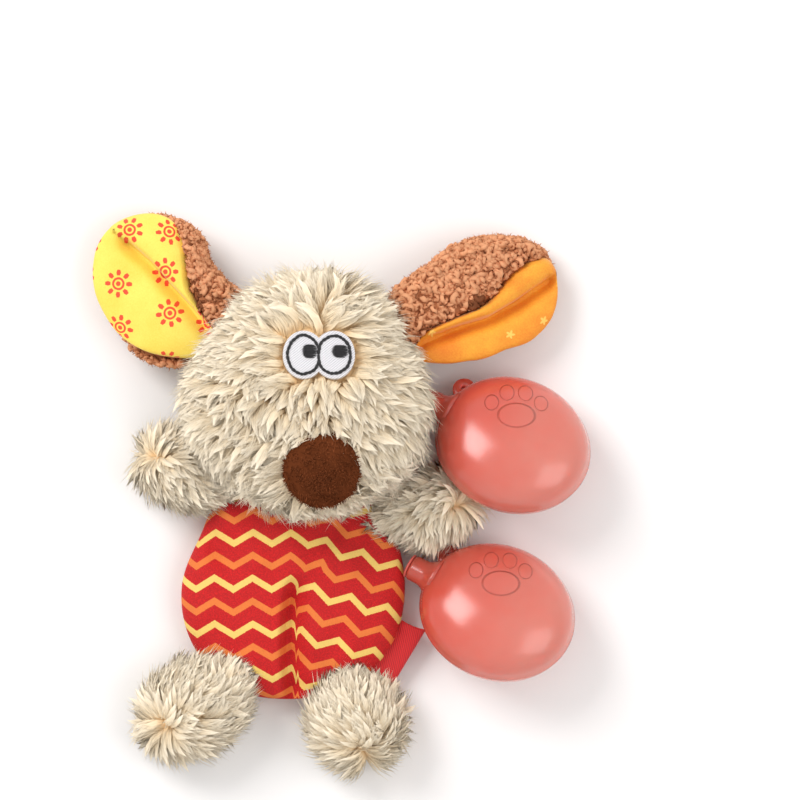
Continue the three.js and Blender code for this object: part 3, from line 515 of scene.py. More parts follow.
def noise_value(tree, vector, scale, detail, rough=0.5):
    inputs = {"Vector": vector, "Scale": scale, "Detail": detail, "Roughness": rough}
    return Number(tree, node(tree, "ShaderNodeTexNoise", inputs).outputs["Fac"])


def effect(name, inputs, outputs):
    """An empty node group: its tree, its inputs by name and its output node. An input without a value is a vector."""
    tree = bpy.data.node_groups.new(name, "ShaderNodeTree")
    for label, value in inputs.items():
        kind = "NodeSocketVector" if value is None else "NodeSocketFloat"
        socket = tree.interface.new_socket(label, in_out="INPUT", socket_type=kind)
        if value is not None:
            socket.default_value = value
    for label in outputs:
        tree.interface.new_socket(label, in_out="OUTPUT", socket_type="NodeSocketFloat")
    given = tree.nodes.new("NodeGroupInput").outputs
    return tree, {label: Number(tree, given[label]) for label in inputs}, tree.nodes.new("NodeGroupOutput")


def use(tree, group, inputs):
    made = node(tree, "ShaderNodeGroup", node_tree=group)
    fill(tree, made, inputs)
    return {socket.name: Number(tree, socket) for socket in made.outputs}


def finish_of(name, rough, **constants):
    """A new material: its tree, its shader, and the Object coordinates that patterns are laid on."""
    material = bpy.data.materials.new(name)
    material.use_nodes = True
    tree = material.node_tree
    shader = tree.nodes["Principled BSDF"]
    shader.inputs["Roughness"].default_value = rough
    for socket, value in constants.items():
        shader.inputs[socket.replace("_", " ")].default_value = value
    place = tree.nodes.new("ShaderNodeTexCoord").outputs["Object"]
    return material, tree, shader, place


def dress(tree, shader, colour, height=None, depth=0.0002, strength=1.0):
    values = {"Base Color": colour}
    if height is not None:
        bump = node(tree, "ShaderNodeBump", {"Strength": strength, "Distance": depth, "Height": height})
        values["Normal"] = bump.outputs["Normal"]
    fill(tree, shader, values)


def mottle_group():
    """Slow uneven shading over a cloth, as where it is handled, and fine grain on top of it."""
    sizes = {"Patch Size": 0.012, "Grain Size": 0.0006, "Depth": 0.2}
    tree, given, out = effect("cloth_mottle", {"Vector": None, **sizes}, ["Shade", "Grain"])
    patches = noise_value(tree, given["Vector"], calc(tree, "DIVIDE", 1.0, given["Patch Size"]), 3)
    grain = noise_value(tree, given["Vector"], calc(tree, "DIVIDE", 1.0, given["Grain Size"]), 2, 0.7)
    centred = patches * 0.6 + grain * 0.4 - 0.5
    fill(tree, out, {"Shade": centred.times_plus(given["Depth"], 1.0), "Grain": grain})
    return tree


def threads_group():
    """Rows of thread side by side, a little uneven, as in satin stitch, twill or a woven tape."""
    sizes = {"Pitch": 0.0004, "Turn": 0.0, "Wander": 0.25}
    tree, given, out = effect("thread_rows", {"Vector": None, **sizes}, ["Height", "Shade"])
    inputs = {"Vector": given["Vector"], "Angle": given["Turn"]}
    turn = node(tree, "ShaderNodeVectorRotate", inputs, rotation_type="Z_AXIS")
    wander = noise_value(tree, given["Vector"], 900.0, 2) - 0.5
    across = axes_of(tree, turn.outputs[0])[0] / given["Pitch"] + wander * given["Wander"]
    ridge = abs(calc(tree, "SINE", across * math.pi))
    fill(tree, out, {"Height": ridge, "Shade": ridge.times_plus(0.3, 0.72)})
    return tree


MOTTLE = mottle_group()
THREADS = threads_group()


def shaded(tree, colour, shade):
    """A colour made lighter or darker by a number."""
    grey = node(tree, "ShaderNodeCombineColor", {"Red": shade, "Green": shade, "Blue": shade}).outputs[0]
    return blend_colours(tree, 1.0, colour, grey, "MULTIPLY")


def pile_finish(name, root, middle, tip, patch=0.012, depth=0.22):
    """Long pile with painted shade: dark at its roots, where the locks over them shade them, and pale at its tips, each
    lock of its own tone and streaked along its fibres.
    """
    material, tree, shader, place = finish_of(name, 0.9, Specular_IOR_Level=0.0)
    along, own, across = (own_value(tree, label) for label in ("tip", "tone", "across"))
    # painted shade: the root colour stands in for the shade deep among the locks, and the pile lightens towards its
    # tips
    colour = blend_colours(tree, along.step(0.0, 0.45), root, middle)
    colour = blend_colours(tree, along.step(0.4, 1.0), colour, tip)
    cloth = use(tree, MOTTLE, {"Vector": place, "Patch Size": patch, "Depth": depth})
    fibres = node(tree, "ShaderNodeCombineXYZ", {"X": across * 4.0, "Y": along * 1.2, "Z": own * 60.0})
    streaks = noise_value(tree, fibres.outputs[0], 1.0, 2, 0.6)
    tone = own.times_plus(0.1, 0.95) * cloth["Shade"] * streaks.times_plus(STREAK, 1 - STREAK / 2)
    dress(tree, shader, shaded(tree, colour, tone), streaks, 0.0003, 0.7)
    return material


STREAK = 0.55  # how much the fibres' streaks lighten and darken a lock
# each pile's root colour is painted shade among its fibres
CREAM_PILE = pile_finish("cream_long_pile", (0.96, 0.81, 0.61), (0.99, 0.905, 0.77), (1.0, 0.945, 0.85))
FLEECE_PILE = pile_finish("brown_curly_fleece", (0.50, 0.30, 0.20), (0.74, 0.47, 0.32), (0.87, 0.62, 0.46), 0.005, 0.35)


def velour_finish(name, colour, fleck, patch=0.01, depth=0.22):
    """Short-pile velour in one colour, with a fine fleck."""
    material, tree, shader, place = finish_of(name, 0.8, Sheen_Weight=0.35, Sheen_Roughness=0.35)
    cloth = use(tree, MOTTLE, {"Vector": place, "Patch Size": patch, "Grain Size": 0.0005, "Depth": depth})
    base = blend_colours(tree, cloth["Grain"].step(0.35, 0.75), colour, fleck)
    dress(tree, shader, shaded(tree, base, cloth["Shade"]), cloth["Grain"], 0.0003, 0.7)
    return material


ZIGZAG_WIDTH = 11.6  # of one whole wave, in millimetres
ZIGZAG_STEP = 13.7  # from one yellow row to the next


def zigzag_finish():
    """Red velour printed with zigzag rows, yellow and orange in turn. The UV map is in waves across and rows up."""
    material, tree, shader, place = finish_of("zigzag_velour", 0.8, Sheen_Weight=0.14, Sheen_Roughness=0.35)
    shader.inputs["Sheen Tint"].default_value = paint(1.0, 0.6, 0.55)
    cloth = use(tree, MOTTLE, {"Vector": place, "Patch Size": 0.009, "Grain Size": 0.00045, "Depth": 0.45})
    across, up, _ = axes_of(tree, tree.nodes.new("ShaderNodeUVMap").outputs[0])
    fray = (cloth["Grain"] - 0.5) * 0.035
    wave = calc(tree, "PINGPONG", across, 0.5) * 2.0
    half_rows = (up - wave * 0.25 + fray) * 2.0 + 0.5
    line = abs(calc(tree, "FRACT", half_rows) - 0.5).step(0.175, 0.145)
    parity = calc(tree, "MODULO", calc(tree, "FLOOR", half_rows) + 100.0, 2.0)
    stripe = blend_colours(tree, parity, (0.94, 0.79, 0.42), (0.90, 0.47, 0.20))
    red = blend_colours(tree, cloth["Grain"].step(0.3, 0.8), (0.70, 0.02, 0.035), (0.85, 0.06, 0.07))
    colour = blend_colours(tree, line, red, stripe)
    dress(tree, shader, shaded(tree, colour, cloth["Shade"]), cloth["Grain"], 0.00025, 0.8)
    return material


def spots_group(name, stray):
    """The start of a print with one spot to each cell of the plane.

    Gives the group's tree and output node, the distance from the spot in millimetres, the angle round it, and a colour
    that is the spot's own.
    """
    tree, given, out = effect(name, {"UV": None, "Cell": 1.0}, ["Ink"])
    inputs = {"Vector": given["UV"], "Scale": 1.0, "Randomness": stray}
    spots = node(tree, "ShaderNodeTexVoronoi", inputs, voronoi_dimensions="2D").outputs
    away = calc_vector(tree, "SUBTRACT", given["UV"], spots["Position"])
    x, y, _ = axes_of(tree, away)
    radius = Number(tree, calc_vector(tree, "LENGTH", away)) * given["Cell"]
    return tree, out, radius, calc(tree, "ARCTAN2", y, x), spots["Color"]


def sun_group():
    """A print of little suns: a dot, a ring round it and eight rays, one sun to each cell, turned by chance."""
    tree, out, radius, angle, colour = spots_group("sun_print", 0.42)
    own = Number(tree, node(tree, "ShaderNodeSeparateColor", {"Color": colour}).outputs["Red"])
    eighth = 2 * math.pi / 8
    from_ray = calc(tree, "FRACT", (angle + own * 3.0) / eighth + 8.0) - 0.5
    aside = abs(from_ray) * eighth * radius
    ring = abs(radius - 1.65).step(0.42, 0.27)
    dot = radius.step(0.85, 0.65)
    middle = abs(radius - 3.45)
    petal = calc(tree, "SUBTRACT", 0.74, middle * 0.3)
    ray = (aside - petal).step(0.07, -0.05) * middle.step(1.0, 0.8)
    fill(tree, out, {"Ink": calc(tree, "MAXIMUM", calc(tree, "MAXIMUM", ring, dot), ray)})
    return tree


def star_group():
    """A sparse print of small five-pointed stars."""
    tree, out, radius, angle, _ = spots_group("star_print", 0.6)
    points = calc(tree, "COSINE", angle * 5.0).times_plus(0.4, 1.1)
    fill(tree, out, {"Ink": (radius - points).step(0.12, -0.12)})
    return tree


def print_finish(name, group, cell, ground, fleck, ink, strength):
    """Smooth printed velour: a ground colour with a print laid on the UV map, which is in millimetres."""
    material, tree, shader, place = finish_of(name, 0.7, Sheen_Weight=0.3, Sheen_Roughness=0.35)
    cloth = use(tree, MOTTLE, {"Vector": place, "Patch Size": 0.011, "Grain Size": 0.0005, "Depth": 0.16})
    flat = tree.nodes.new("ShaderNodeUVMap").outputs[0]
    wander = node(tree, "ShaderNodeTexNoise", {"Vector": flat, "Scale": 1.3, "Detail": 2.0}).outputs["Color"]
    laid = calc_vector(tree, "ADD", flat, calc_vector(tree, "MULTIPLY", wander, (0.25, 0.25, 0)))
    laid = calc_vector(tree, "SCALE", laid, Scale=1 / cell)
    drawn = use(tree, group, {"UV": laid, "Cell": cell})["Ink"]
    base = blend_colours(tree, cloth["Shade"].step(0.95, 1.05), fleck, ground)
    colour = blend_colours(tree, drawn * strength, base, ink)
    dress(tree, shader, shaded(tree, colour, cloth["Shade"]), cloth["Grain"], 0.0002, 0.6)
    return material


SUN_PRINT = print_finish(
    "yellow_sun_print", sun_group(), 13.4, (0.98, 0.88, 0.40), (0.95, 0.80, 0.28), (0.90, 0.20, 0.14), 0.95
)
STAR_PRINT = print_finish(
    "orange_star_print", star_group(), 19.0, (0.97, 0.70, 0.20), (0.91, 0.48, 0.08), (1.0, 0.84, 0.42), 0.7
)
ZIGZAG = zigzag_finish()
# its root colour is painted shade among the nap
NOSE_PILE = pile_finish("brown_nose_plush", (0.27, 0.13, 0.07), (0.42, 0.22, 0.12), (0.55, 0.31, 0.19), 0.0035, 1.1)
POUCH_CLOTH = velour_finish("white_pouch_cloth", (0.90, 0.89, 0.86), (0.83, 0.82, 0.78))
FIBRE = velour_finish("fibre_filling", (0.94, 0.94, 0.92), (0.85, 0.85, 0.82), 0.003, 0.3)


def thread_finish(name, colour, shadow, pitch, turn, rough=0.45, wander=0.25):
    """Thread or ribbon with its strands side by side."""
    material, tree, shader, place = finish_of(name, rough, Sheen_Weight=0.2)
    rows = use(tree, THREADS, {"Vector": place, "Pitch": pitch, "Turn": turn, "Wander": wander})
    colour = blend_colours(tree, rows["Height"].step(0.05, 0.6), shadow, colour)
    dress(tree, shader, colour, rows["Height"], 0.00015, 0.8)
    return material


WHITE_THREAD = thread_finish("white_satin_stitch", (0.89, 0.88, 0.89), (0.66, 0.65, 0.68), 0.0006, 0.9)
BLACK_THREAD = thread_finish("black_satin_stitch", (0.10, 0.09, 0.10), (0.02, 0.02, 0.02), 0.0004, 0.2, 0.5)
TAPE = thread_finish("hook_and_loop_tape", (0.90, 0.88, 0.82), (0.66, 0.63, 0.56), 0.0007, 0.0, 0.8, 0.8)
RIBBON = thread_finish("red_twill_ribbon", (0.86, 0.07, 0.10), (0.62, 0.03, 0.05), 0.00055, 0.2, 0.55)

# A plain paw print of one pad and four toes, in millimetres round the middle of a bulb's face: place and half sizes.
PAW_PADS = [(0, -2.4, 5.4, 4.0)]
PAW_PADS += [(-7.4, 2.2, 2.0, 2.7), (-2.8, 5.8, 2.1, 2.9), (2.8, 5.8, 2.1, 2.9), (7.4, 2.2, 2.0, 2.7)]


def plastic_finish():
    """Soft translucent vinyl, redder at the neck and paler away from it, which is painted light passing through the
    wall, with a raised mark on one face laid by the UV map.
    """
    material, tree, shader, place = finish_of(
        "coral_squeaker_vinyl", 0.22, Transmission_Weight=0.52, IOR=1.42, Coat_Weight=0.6, Coat_Roughness=0.2
    )
    shader.inputs["Subsurface Weight"].default_value = 0.25
    shader.inputs["Subsurface Radius"].default_value = (0.006, 0.0025, 0.002)
    across, up, _ = axes_of(tree, tree.nodes.new("ShaderNodeUVMap").outputs[0])
    # painted light: the bulb is paler away from the neck, as light passes through its wall, and the cloudy noise varies
    # this at random
    cloudy = noise_value(tree, place, 90.0, 2).times_plus(0.5, -0.25)
    pale = calc(tree, "ADD", own_value(tree, "from_neck"), cloudy, clamp=True)
    colour = blend_colours(tree, pale, (1.0, 0.44, 0.36), (1.0, 0.64, 0.57))
    fine = noise_value(tree, place, 2600.0, 2)
    raised = None
    for x, y, wide, tall in PAW_PADS:
        aside, above = (across - x) / wide, (up - y) / tall
        pad = calc(tree, "SQRT", aside * aside + above * above).step(1.1, 0.94)
        raised = calc(tree, "MAXIMUM", raised, pad) if raised else pad
    fill(tree, shader, {"Roughness": fine.times_plus(0.1, 0.16)})
    dress(tree, shader, colour, raised + fine * 0.03, 0.0009, 1.0)
    return material


VINYL = plastic_finish()


def hard_finish(name, colour, other, rough):
    material, tree, shader, place = finish_of(name, rough)
    grain = noise_value(tree, place, 1500.0, 3)
    dress(tree, shader, blend_colours(tree, grain, colour, other), grain, 0.00005, 0.4)
    return material


WHISTLE = hard_finish("whistle_plastic", (0.88, 0.42, 0.37), (0.84, 0.36, 0.32), 0.4)
REED = hard_finish("reed_film", (0.85, 0.83, 0.78), (0.78, 0.76, 0.70), 0.3)


# -------- head

BUNDLE = cone_mesh(6, LEAF_STEPS)
STRAND = cone_mesh(3, STRAND_STEPS)
SHORT_NAP = [nap_mesh(seed) for seed in range(6)]
LONG_PILE, PAW_PILE = 11.0, 10.2
LONG_LOCKS = lock_set(11, LONG_PILE, 1.35)
PAW_LOCKS = lock_set(5011, PAW_PILE, 1.2)

EYES_AT = HEAD_AT + Vector((*EYE_PLACE, 0))
NOSE_AT = HEAD_AT + Vector((*NOSE_PLACE, 0))
NOSE_MIDDLE = on_head(*NOSE_PLACE).translation
UNDER_NOSE = 8.8  # the ball round the nose's middle that has no pile
FACE_LOCKS, BACK_LOCKS = 5400, 2400  # of a whole ball
FLAP = (42, 25)


def away_in_plan(point, centre):
    away = Vector((point.x - centre.x, point.y - centre.y, 0))
    return away, away.length


def head_flow(point):
    """The pile lies away from the eyes and from the nose, and hangs a little."""
    from_eyes, far = away_in_plan(point, EYES_AT)
    from_nose, near = away_in_plan(point, NOSE_AT)
    way = from_eyes / max(far, 4) + Vector((0, -0.3, 0.15))
    return way + from_nose / max(near, 2) * 1.6 * math.exp(-((near / 15) ** 2))


def face_lean(point, ball):
    far = away_in_plan(point, EYES_AT)[1]
    lean = mix(56, 82, smooth(abs(ball.z), 0.05, 0.6))
    lean -= 16 * smooth(point.y, EYES_AT.y + 6, EYES_AT.y + 20)
    lean += 30 * smooth(point.y, HEAD_AT.y - 14, HEAD_AT.y - 26)
    return mix(82, lean, smooth(far, 10, 16))


def on_patch(x, y):
    """Whether a place is inside the two ovals of the eye patch, or just beside them."""
    wide, tall = (half + 0.2 for half in PATCH_HALF)
    return any(
        ((x - EYES_AT.x - side * EYE_APART) / wide) ** 2 + ((y - EYES_AT.y) / tall) ** 2 < 1 for side in (-1, 1)
    )


def on_chin(point):
    return point.z > HEAD_AT.z and point.y < NOSE_AT.y + 3 and away_in_plan(point, NOSE_AT)[1] < 17


def keep_face(ball, point):
    if ball.z <= -0.02 or on_patch(point.x, point.y):
        return False
    return (point - NOSE_MIDDLE).length > UNDER_NOSE


def keep_back(ball, point):
    under_flap = abs(point.x - HEAD_AT.x) < FLAP[0] / 2 and abs(point.y - POCKET_Y) < FLAP[1] / 2 and point.z < 9
    return ball.z <= 0 and not under_flap


def head_panel(name, node_name, keep_ball, keep_place, count, seed):
    skin = head_form(-PILE_ROOM)
    skin.front, skin.back = HEAD_FRONT - FACE_ROOM, HEAD_BACK - FACE_ROOM
    bm = skin.mesh(72, 48, keep_ball)
    # the backing takes nearly the root colour: painted shade between the locks
    mark(bm, tip=0.12, tone=0.5, across=0.5)
    keep_above(bm, SURFACE + 0.4)
    places = spread_places(skin, count, seed, keep_place)
    places += spread_places(skin, count, seed + 9, lambda ball, point: keep_place(ball, point) and on_chin(point))
    pile = grow_pile(bm, places, LONG_LOCKS, LONG_PILE, seed, head_flow, face_lean)
    lay_over(bm, body_form(), 0.6)
    keep_above(bm)
    finish(bm, name, "head", [node_name], CREAM_PILE, pile=pile)


head_panel("head_front_fur", "head_front_panel", lambda ball: ball.z > 0, keep_face, FACE_LOCKS, 3)
head_panel("head_back_fur", "head_back_panel", lambda ball: ball.z < 0, keep_back, BACK_LOCKS, 4)


def under(form, x, y):
    """Height of a form's back over a place in plan."""
    x, y = x - form.place.translation.x, y - form.place.translation.y
    reach = min(0.999, form.reach(x, y))
    return form.place.translation.z - (1 - reach * reach) ** (form.fullness / 2) * form.back


def strip_on_back(width, height, corner, middle_y, depth, thickness):
    """A rounded strip laid on the inside of the head's back, depth under its outside."""
    bm = bmesh.new()
    bmesh.ops.create_grid(bm, x_segments=42, y_segments=16, size=0.5)
    form = head_form(-depth)
    inner_x, inner_y = width / 2 - corner, height / 2 - corner
    for vertex in bm.verts:
        x, y = vertex.co.x * width, vertex.co.y * height
        over_x, over_y = abs(x) - inner_x, abs(y) - inner_y
        if over_x > 0 and over_y > 0:
            pull = min(1, corner / math.hypot(over_x, over_y))
            x, y = math.copysign(inner_x + over_x * pull, x), math.copysign(inner_y + over_y * pull, y)
        x, y = x + HEAD_AT.x, y + middle_y
        vertex.co = (x, y, max(SURFACE + 0.05, under(form, x, y)))
    bmesh.ops.recalc_face_normals(bm, faces=bm.faces)
    bmesh.ops.solidify(bm, geom=bm.faces[:], thickness=thickness)
    bmesh.ops.recalc_face_normals(bm, faces=bm.faces)
    return bm


flap = strip_on_back(*FLAP, 4, POCKET_Y, 0.8, 2.2)
mark(flap, tip=0.6, tone=0.5)
flap = finish(flap, "pocket_flap_cloth", "pocket_flap", ["pocket_flap"], CREAM_PILE)
TAPE_SIZE = (32, 5)
TAPE_Y = POCKET_Y - 8.8
for name, body, depth in (("hook", "pocket_flap", 3.1), ("loop", "head", 4.0)):
    strip = strip_on_back(*TAPE_SIZE, 0.4, TAPE_Y, depth, 0.7)
    finish(strip, name + "_strip", body, ["pocket_%s_tape" % name], TAPE)


def beside_mouth(ball):
    """Whether a place on the pouch is cloth, and not its mouth towards the flap."""
    return ball.z >= 0 or (ball.x / 0.44) ** 2 + ((ball.y + 0.11) / 0.19) ** 2 >= 1


pouch = head_form(-PILE_ROOM - 0.8).mesh(48, 28, beside_mouth)
bmesh.ops.solidify(pouch, geom=pouch.faces[:], thickness=0.8)
keep_above(pouch, 4.5)
finish(pouch, "squeaker_pouch_cloth", "head", ["squeaker_pouch"], POUCH_CLOTH)


# -------- eyes

EYE_FRAME = on_head(*EYE_PLACE)
EYE_HALF = (5.15, 6.15)


def oval_reach(angle, centre_x, half_width, half_height):
    """How far an oval beside the origin reaches in a direction, or 0."""
    c, s = math.cos(angle), math.sin(angle)
    a = (c / half_width) ** 2 + (s / half_height) ** 2
    b = -2 * c * centre_x / half_width**2
    inside = b * b - 4 * a * ((centre_x / half_width) ** 2 - 1)
    return (-b + math.sqrt(inside)) / (2 * a) if inside > 0 else 0


def patch_rim(angle):
    reach = max(oval_reach(angle, side * EYE_APART, *PATCH_HALF) for side in (-1, 1))
    return math.cos(angle) * reach, math.sin(angle) * reach


patch = Form(patch_rim, 0.75, 3.4, 0.22, EYE_FRAME).mesh(96, 40)
finish(patch, "eye_patch_stitching", "head", ["eye_patch"], WHITE_THREAD)


def stitch(bm, start, end, width, height, level):
    """One raised stitch from start to end in the eyes' frame."""
    middle, way = (start + end) / 2, end - start
    made = bmesh.ops.create_uvsphere(bm, u_segments=8, v_segments=5, radius=1)
    turn = Matrix.Rotation(math.atan2(way.y, way.x), 4, "Z")
    size = Matrix.Diagonal((way.length / 2 * 1.12, width / 2, height / 2, 1))
    lie = Matrix.Rotation(math.pi / 2, 4, "Y")
    place = EYE_FRAME @ Matrix.Translation((middle.x, middle.y, level)) @ turn @ size @ lie
    bmesh.ops.transform(bm, matrix=place, verts=made["verts"])


def eye_ring(side, stitches, seed):
    rng = random.Random(seed)
    bm = bmesh.new()
    centre = Vector((side * EYE_APART, 0))
    points = []
    for i in range(stitches):
        angle = 2 * math.pi * (i + rng.uniform(-0.12, 0.12)) / stitches
        out = rng.uniform(-0.2, 0.2)
        wide, tall = (half - 0.35 + out for half in EYE_HALF)
        points.append(centre + Vector((math.cos(angle) * wide, math.sin(angle) * tall)))
    for i, start in enumerate(points):
        end = points[(i + 1) % stitches]
        middle = (start + end) / 2
        in_right = ((middle.x - EYE_APART) / 4.7) ** 2 + (middle.y / 5.8) ** 2 < 1
        if side < 0 and in_right:
            continue
        for row in (-1, 1):
            aside = (end - start).normalized().orthogonal() * 0.17 * row
            stitch(bm, start + aside, end + aside, 0.66 * rng.uniform(0.8, 1.25), 0.66, 0.78)
    return bm


for side, name, seed in ((1, "eye_outline_right", 21), (-1, "eye_outline_left", 22)):
    finish(eye_ring(side, 24, seed), name + "_stitches", "head", [name], BLACK_THREAD)


def pupil(name, x, y, wide, tall, seed):
    """A squarish block of satin stitch, its threads lying side by side."""
    rng = random.Random(seed)
    bm = bmesh.new()
    rows = 11
    for i in range(rows):
        down = (i + 0.5) / rows * 2 - 1
        half = wide * (1 - abs(down) ** 3.2 * 0.45) * rng.uniform(0.93, 1.05)
        level = 0.84 + 0.2 * (1 - down * down)
        start, end = Vector((x - half, y + down * tall)), Vector((x + half, y + down * tall + rng.uniform(-0.1, 0.1)))
        stitch(bm, start, end, 2.6 * tall / rows, 0.75, level)
    finish(bm, name + "_stitches", "head", [name], BLACK_THREAD)


pupil("pupil_left", -EYE_APART + 1.75, 1.0, 2.15, 2.0, 31)
pupil("pupil_right", EYE_APART + 1.75, 1.0, 2.3, 1.85, 32)


# -------- nose


def nose_form(grow=0):
    place = on_head(*NOSE_PLACE) @ Matrix.Translation((0, 0, -1))
    return Form(outline(NOSE_SHARES, 11.1, 11, grow), 10 + grow, 4.5 + grow, 0.75, place)


NOSE_NAP = 3400  # bundles of its close-cut pile

cover = nose_form().mesh(96, 56, lambda ball: not (ball.z < 0 and math.hypot(ball.x, ball.y) < 0.5))
for vertex in cover.verts:
    vertex.co += vertex.co.normalized() * 0.25 * (noise.noise(vertex.co * 0.35) + 0.5 * noise.noise(vertex.co * 0.9))
bmesh.ops.solidify(cover, geom=cover.faces[:], thickness=1.2)
# the cover takes a dark pile colour: painted shade under the nap
mark(cover, tip=0.3, tone=0.3, across=0.3)
cover.normal_update()
shown = [spot for spot in cover.verts if spot.normal.z > -0.35 and (spot.co - NOSE_AT).dot(spot.normal) > 0]
nap = [(spot.co.copy(), spot.normal.copy()) for spot in shown]
nap.sort(key=lambda spot: tuple(spot[0]))  # a mesh's own order differs from run to run
rng = random.Random(51)
for _ in range(NOSE_NAP):
    point, normal = rng.choice(nap)
    point = point + chance(rng, 0.35)
    lie = noise.noise_vector(point * 0.22) + chance(rng, 0.3)
    put(cover, rng.choice(SHORT_NAP), stand_on(point - normal * 0.2, normal, lie, rng.uniform(0.7, 1.2)))
finish(cover, "nose_plush", "head", ["nose_cover"], NOSE_PILE)
filling = nose_form(-1.8).mesh(40, 24)
for vertex in filling.verts:
    vertex.co += Vector(noise.noise_vector(vertex.co * 0.4)) * 0.25
finish(filling, "nose_fibre", "head", ["nose_filling"], FIBRE)


# -------- squeakers

BULB_HALF = (23.625, 21, 12.4)
OFF_PRINT = (900, 900)  # a place on the UV map that has no print
NECK_END = BULB_HALF[0] + 6
PARTING_LIP = 0.45
LUG_AT = math.radians(-24)  # round the bulb from its neck
LUG_OUT = (23.125, 20.558125)  # the oval on which the lug's ring has its middle
SPARE_TURN = 150  # the way that a loose squeaker's neck points, in degrees
SPARE_TILT = -24


def bulb_shape(place):
    """A blow-moulded bulb with a parting line, a neck and a lug, its neck along +X."""
    form = Form(outline([1] * 8, BULB_HALF[0], BULB_HALF[1]), BULB_HALF[2], BULB_HALF[2], 0.85, Matrix.Identity(4))
    bm = bmesh.new()
    bmesh.ops.create_uvsphere(bm, u_segments=112, v_segments=90, radius=1)
    for vertex in bm.verts:
        ball = vertex.co.normalized()
        out = 1 + PARTING_LIP / BULB_HALF[0] * math.exp(-((ball.z / 0.035) ** 2))
        spot = form.at(ball)
        vertex.co = (spot.x * out, spot.y * out, spot.z)
    bmesh.ops.solidify(bm, geom=bm.faces[:], thickness=1.0)
    neck = [(20.9, 7.4), (22.4, 6.0), (24.0, 4.6), (25.4, 4.0), (28.9, 3.9), (29.4, 3.75)]
    neck += [(NECK_END, 3.4), (NECK_END, 3.05), (20.6, 3.05)]
    spin_profile(bm, [Vector((x, r, 0)) for x, r in neck], (0, 0, 0), (1, 0, 0), 48)
    lug_x, lug_y = LUG_OUT[0] * math.cos(LUG_AT) * 1.03, LUG_OUT[1] * math.sin(LUG_AT) * 1.03
    ring = [(0.8, -0.5), (1.0, -0.8), (3.2, -0.8), (3.5, -0.5), (3.5, 0.5), (3.2, 0.8), (1.0, 0.8), (0.8, 0.5)]
    spin_profile(bm, [Vector((lug_x + r, lug_y, z)) for r, z in ring], (lug_x, lug_y, 0), (0, 0, 1), 36)
    turn = Matrix.Rotation(math.radians(SPARE_TURN), 2)

    def on_mark(vertex):
        spot = turn @ vertex.co.xy
        return (spot.x - 1, spot.y - 7) if vertex.co.z > 0 else OFF_PRINT

    lay_print(bm, on_mark)
    # from_neck carries the vinyl's painted light: paler away from the neck
    from_neck = bm.verts.layers.float.new("from_neck")
    for vertex in bm.verts:
        vertex[from_neck] = smooth(-vertex.co.x, -BULB_HALF[0], BULB_HALF[0])
    bmesh.ops.transform(bm, matrix=place, verts=bm.verts)
    return bm


def spin_profile(bm, points, centre, axis, steps):
    """Spins a closed profile all the way round an axis, and points its faces outwards."""
    before = set(bm.faces)
    ring = [bm.verts.new(point) for point in points]
    edges = [bm.edges.new((ring[i], ring[(i + 1) % len(ring)])) for i in range(len(ring))]
    bmesh.ops.spin(bm, geom=ring + edges, cent=centre, axis=axis, angle=2 * math.pi, steps=steps, use_merge=True)
    made = [face for face in bm.faces if face not in before]
    bmesh.ops.recalc_face_normals(bm, faces=made)


def squeaker(prefix, body, place):
    finish(bulb_shape(place), prefix + "_vinyl_bulb", body, [prefix + "_bulb"], VINYL)
    whistle = bmesh.new()
    end = NECK_END + 0.3
    profile = [(NECK_END - 9, 0.7), (NECK_END - 9, 2.5), (NECK_END - 8.8, 2.7), (end, 2.7), (end, 3.6)]
    profile += [(end + 0.15, 3.75), (end + 0.45, 3.75), (end + 0.6, 3.6), (end + 0.6, 0.9), (end + 0.4, 0.7)]
    spin_profile(whistle, [Vector((x, r, 0)) for x, r in profile], (0, 0, 0), (1, 0, 0), 36)
    bmesh.ops.transform(whistle, matrix=place, verts=whistle.verts)
    finish(whistle, prefix + "_whistle_insert", body, [prefix + "_whistle"], WHISTLE)
    reed = bmesh.new()
    bmesh.ops.create_cube(reed, size=1)
    lengthwise = [edge for edge in reed.edges if abs(edge.verts[0].co.x - edge.verts[1].co.x) > 0.5]
    bmesh.ops.subdivide_edges(reed, edges=lengthwise, cuts=9, use_grid_fill=True)
    for vertex in reed.verts:
        along = vertex.co.x + 0.5
        z = vertex.co.z * 0.25 - 0.3 - 0.12 * math.sin(along * math.pi)
        vertex.co = (NECK_END - 8.7 + along * 6.7, vertex.co.y * 2.2, z)
    bmesh.ops.transform(reed, matrix=place, verts=reed.verts)
    finish(reed, prefix + "_reed_strip", body, [prefix + "_reed"], REED, flat=True)


def spare_place(x, y, low):
    tilt = Matrix.Rotation(math.radians(SPARE_TILT), 4, "X")
    return Matrix.Translation((x, y, low)) @ tilt @ Matrix.Rotation(math.radians(SPARE_TURN), 4, "Z")


SPARE_LEVEL = (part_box("spare_squeaker_upper_bulb")[0].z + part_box("spare_squeaker_upper_bulb")[1].z) / 2 / MM + 0.1
squeaker("spare_squeaker_upper", "spare_squeaker_upper", spare_place(66, 45.8, SPARE_LEVEL))
squeaker("spare_squeaker_lower", "spare_squeaker_lower", spare_place(61.3, -4.5, SPARE_LEVEL))
squeaker("head_squeaker", "head", turned(0.9, 60.6, 18.9))


# -------- body

CLOTH = 1.3
SLANT = 15.5  # degrees that the print is turned by on the right of the fold,
SLANT_FROM = 22  # round this height over the origin


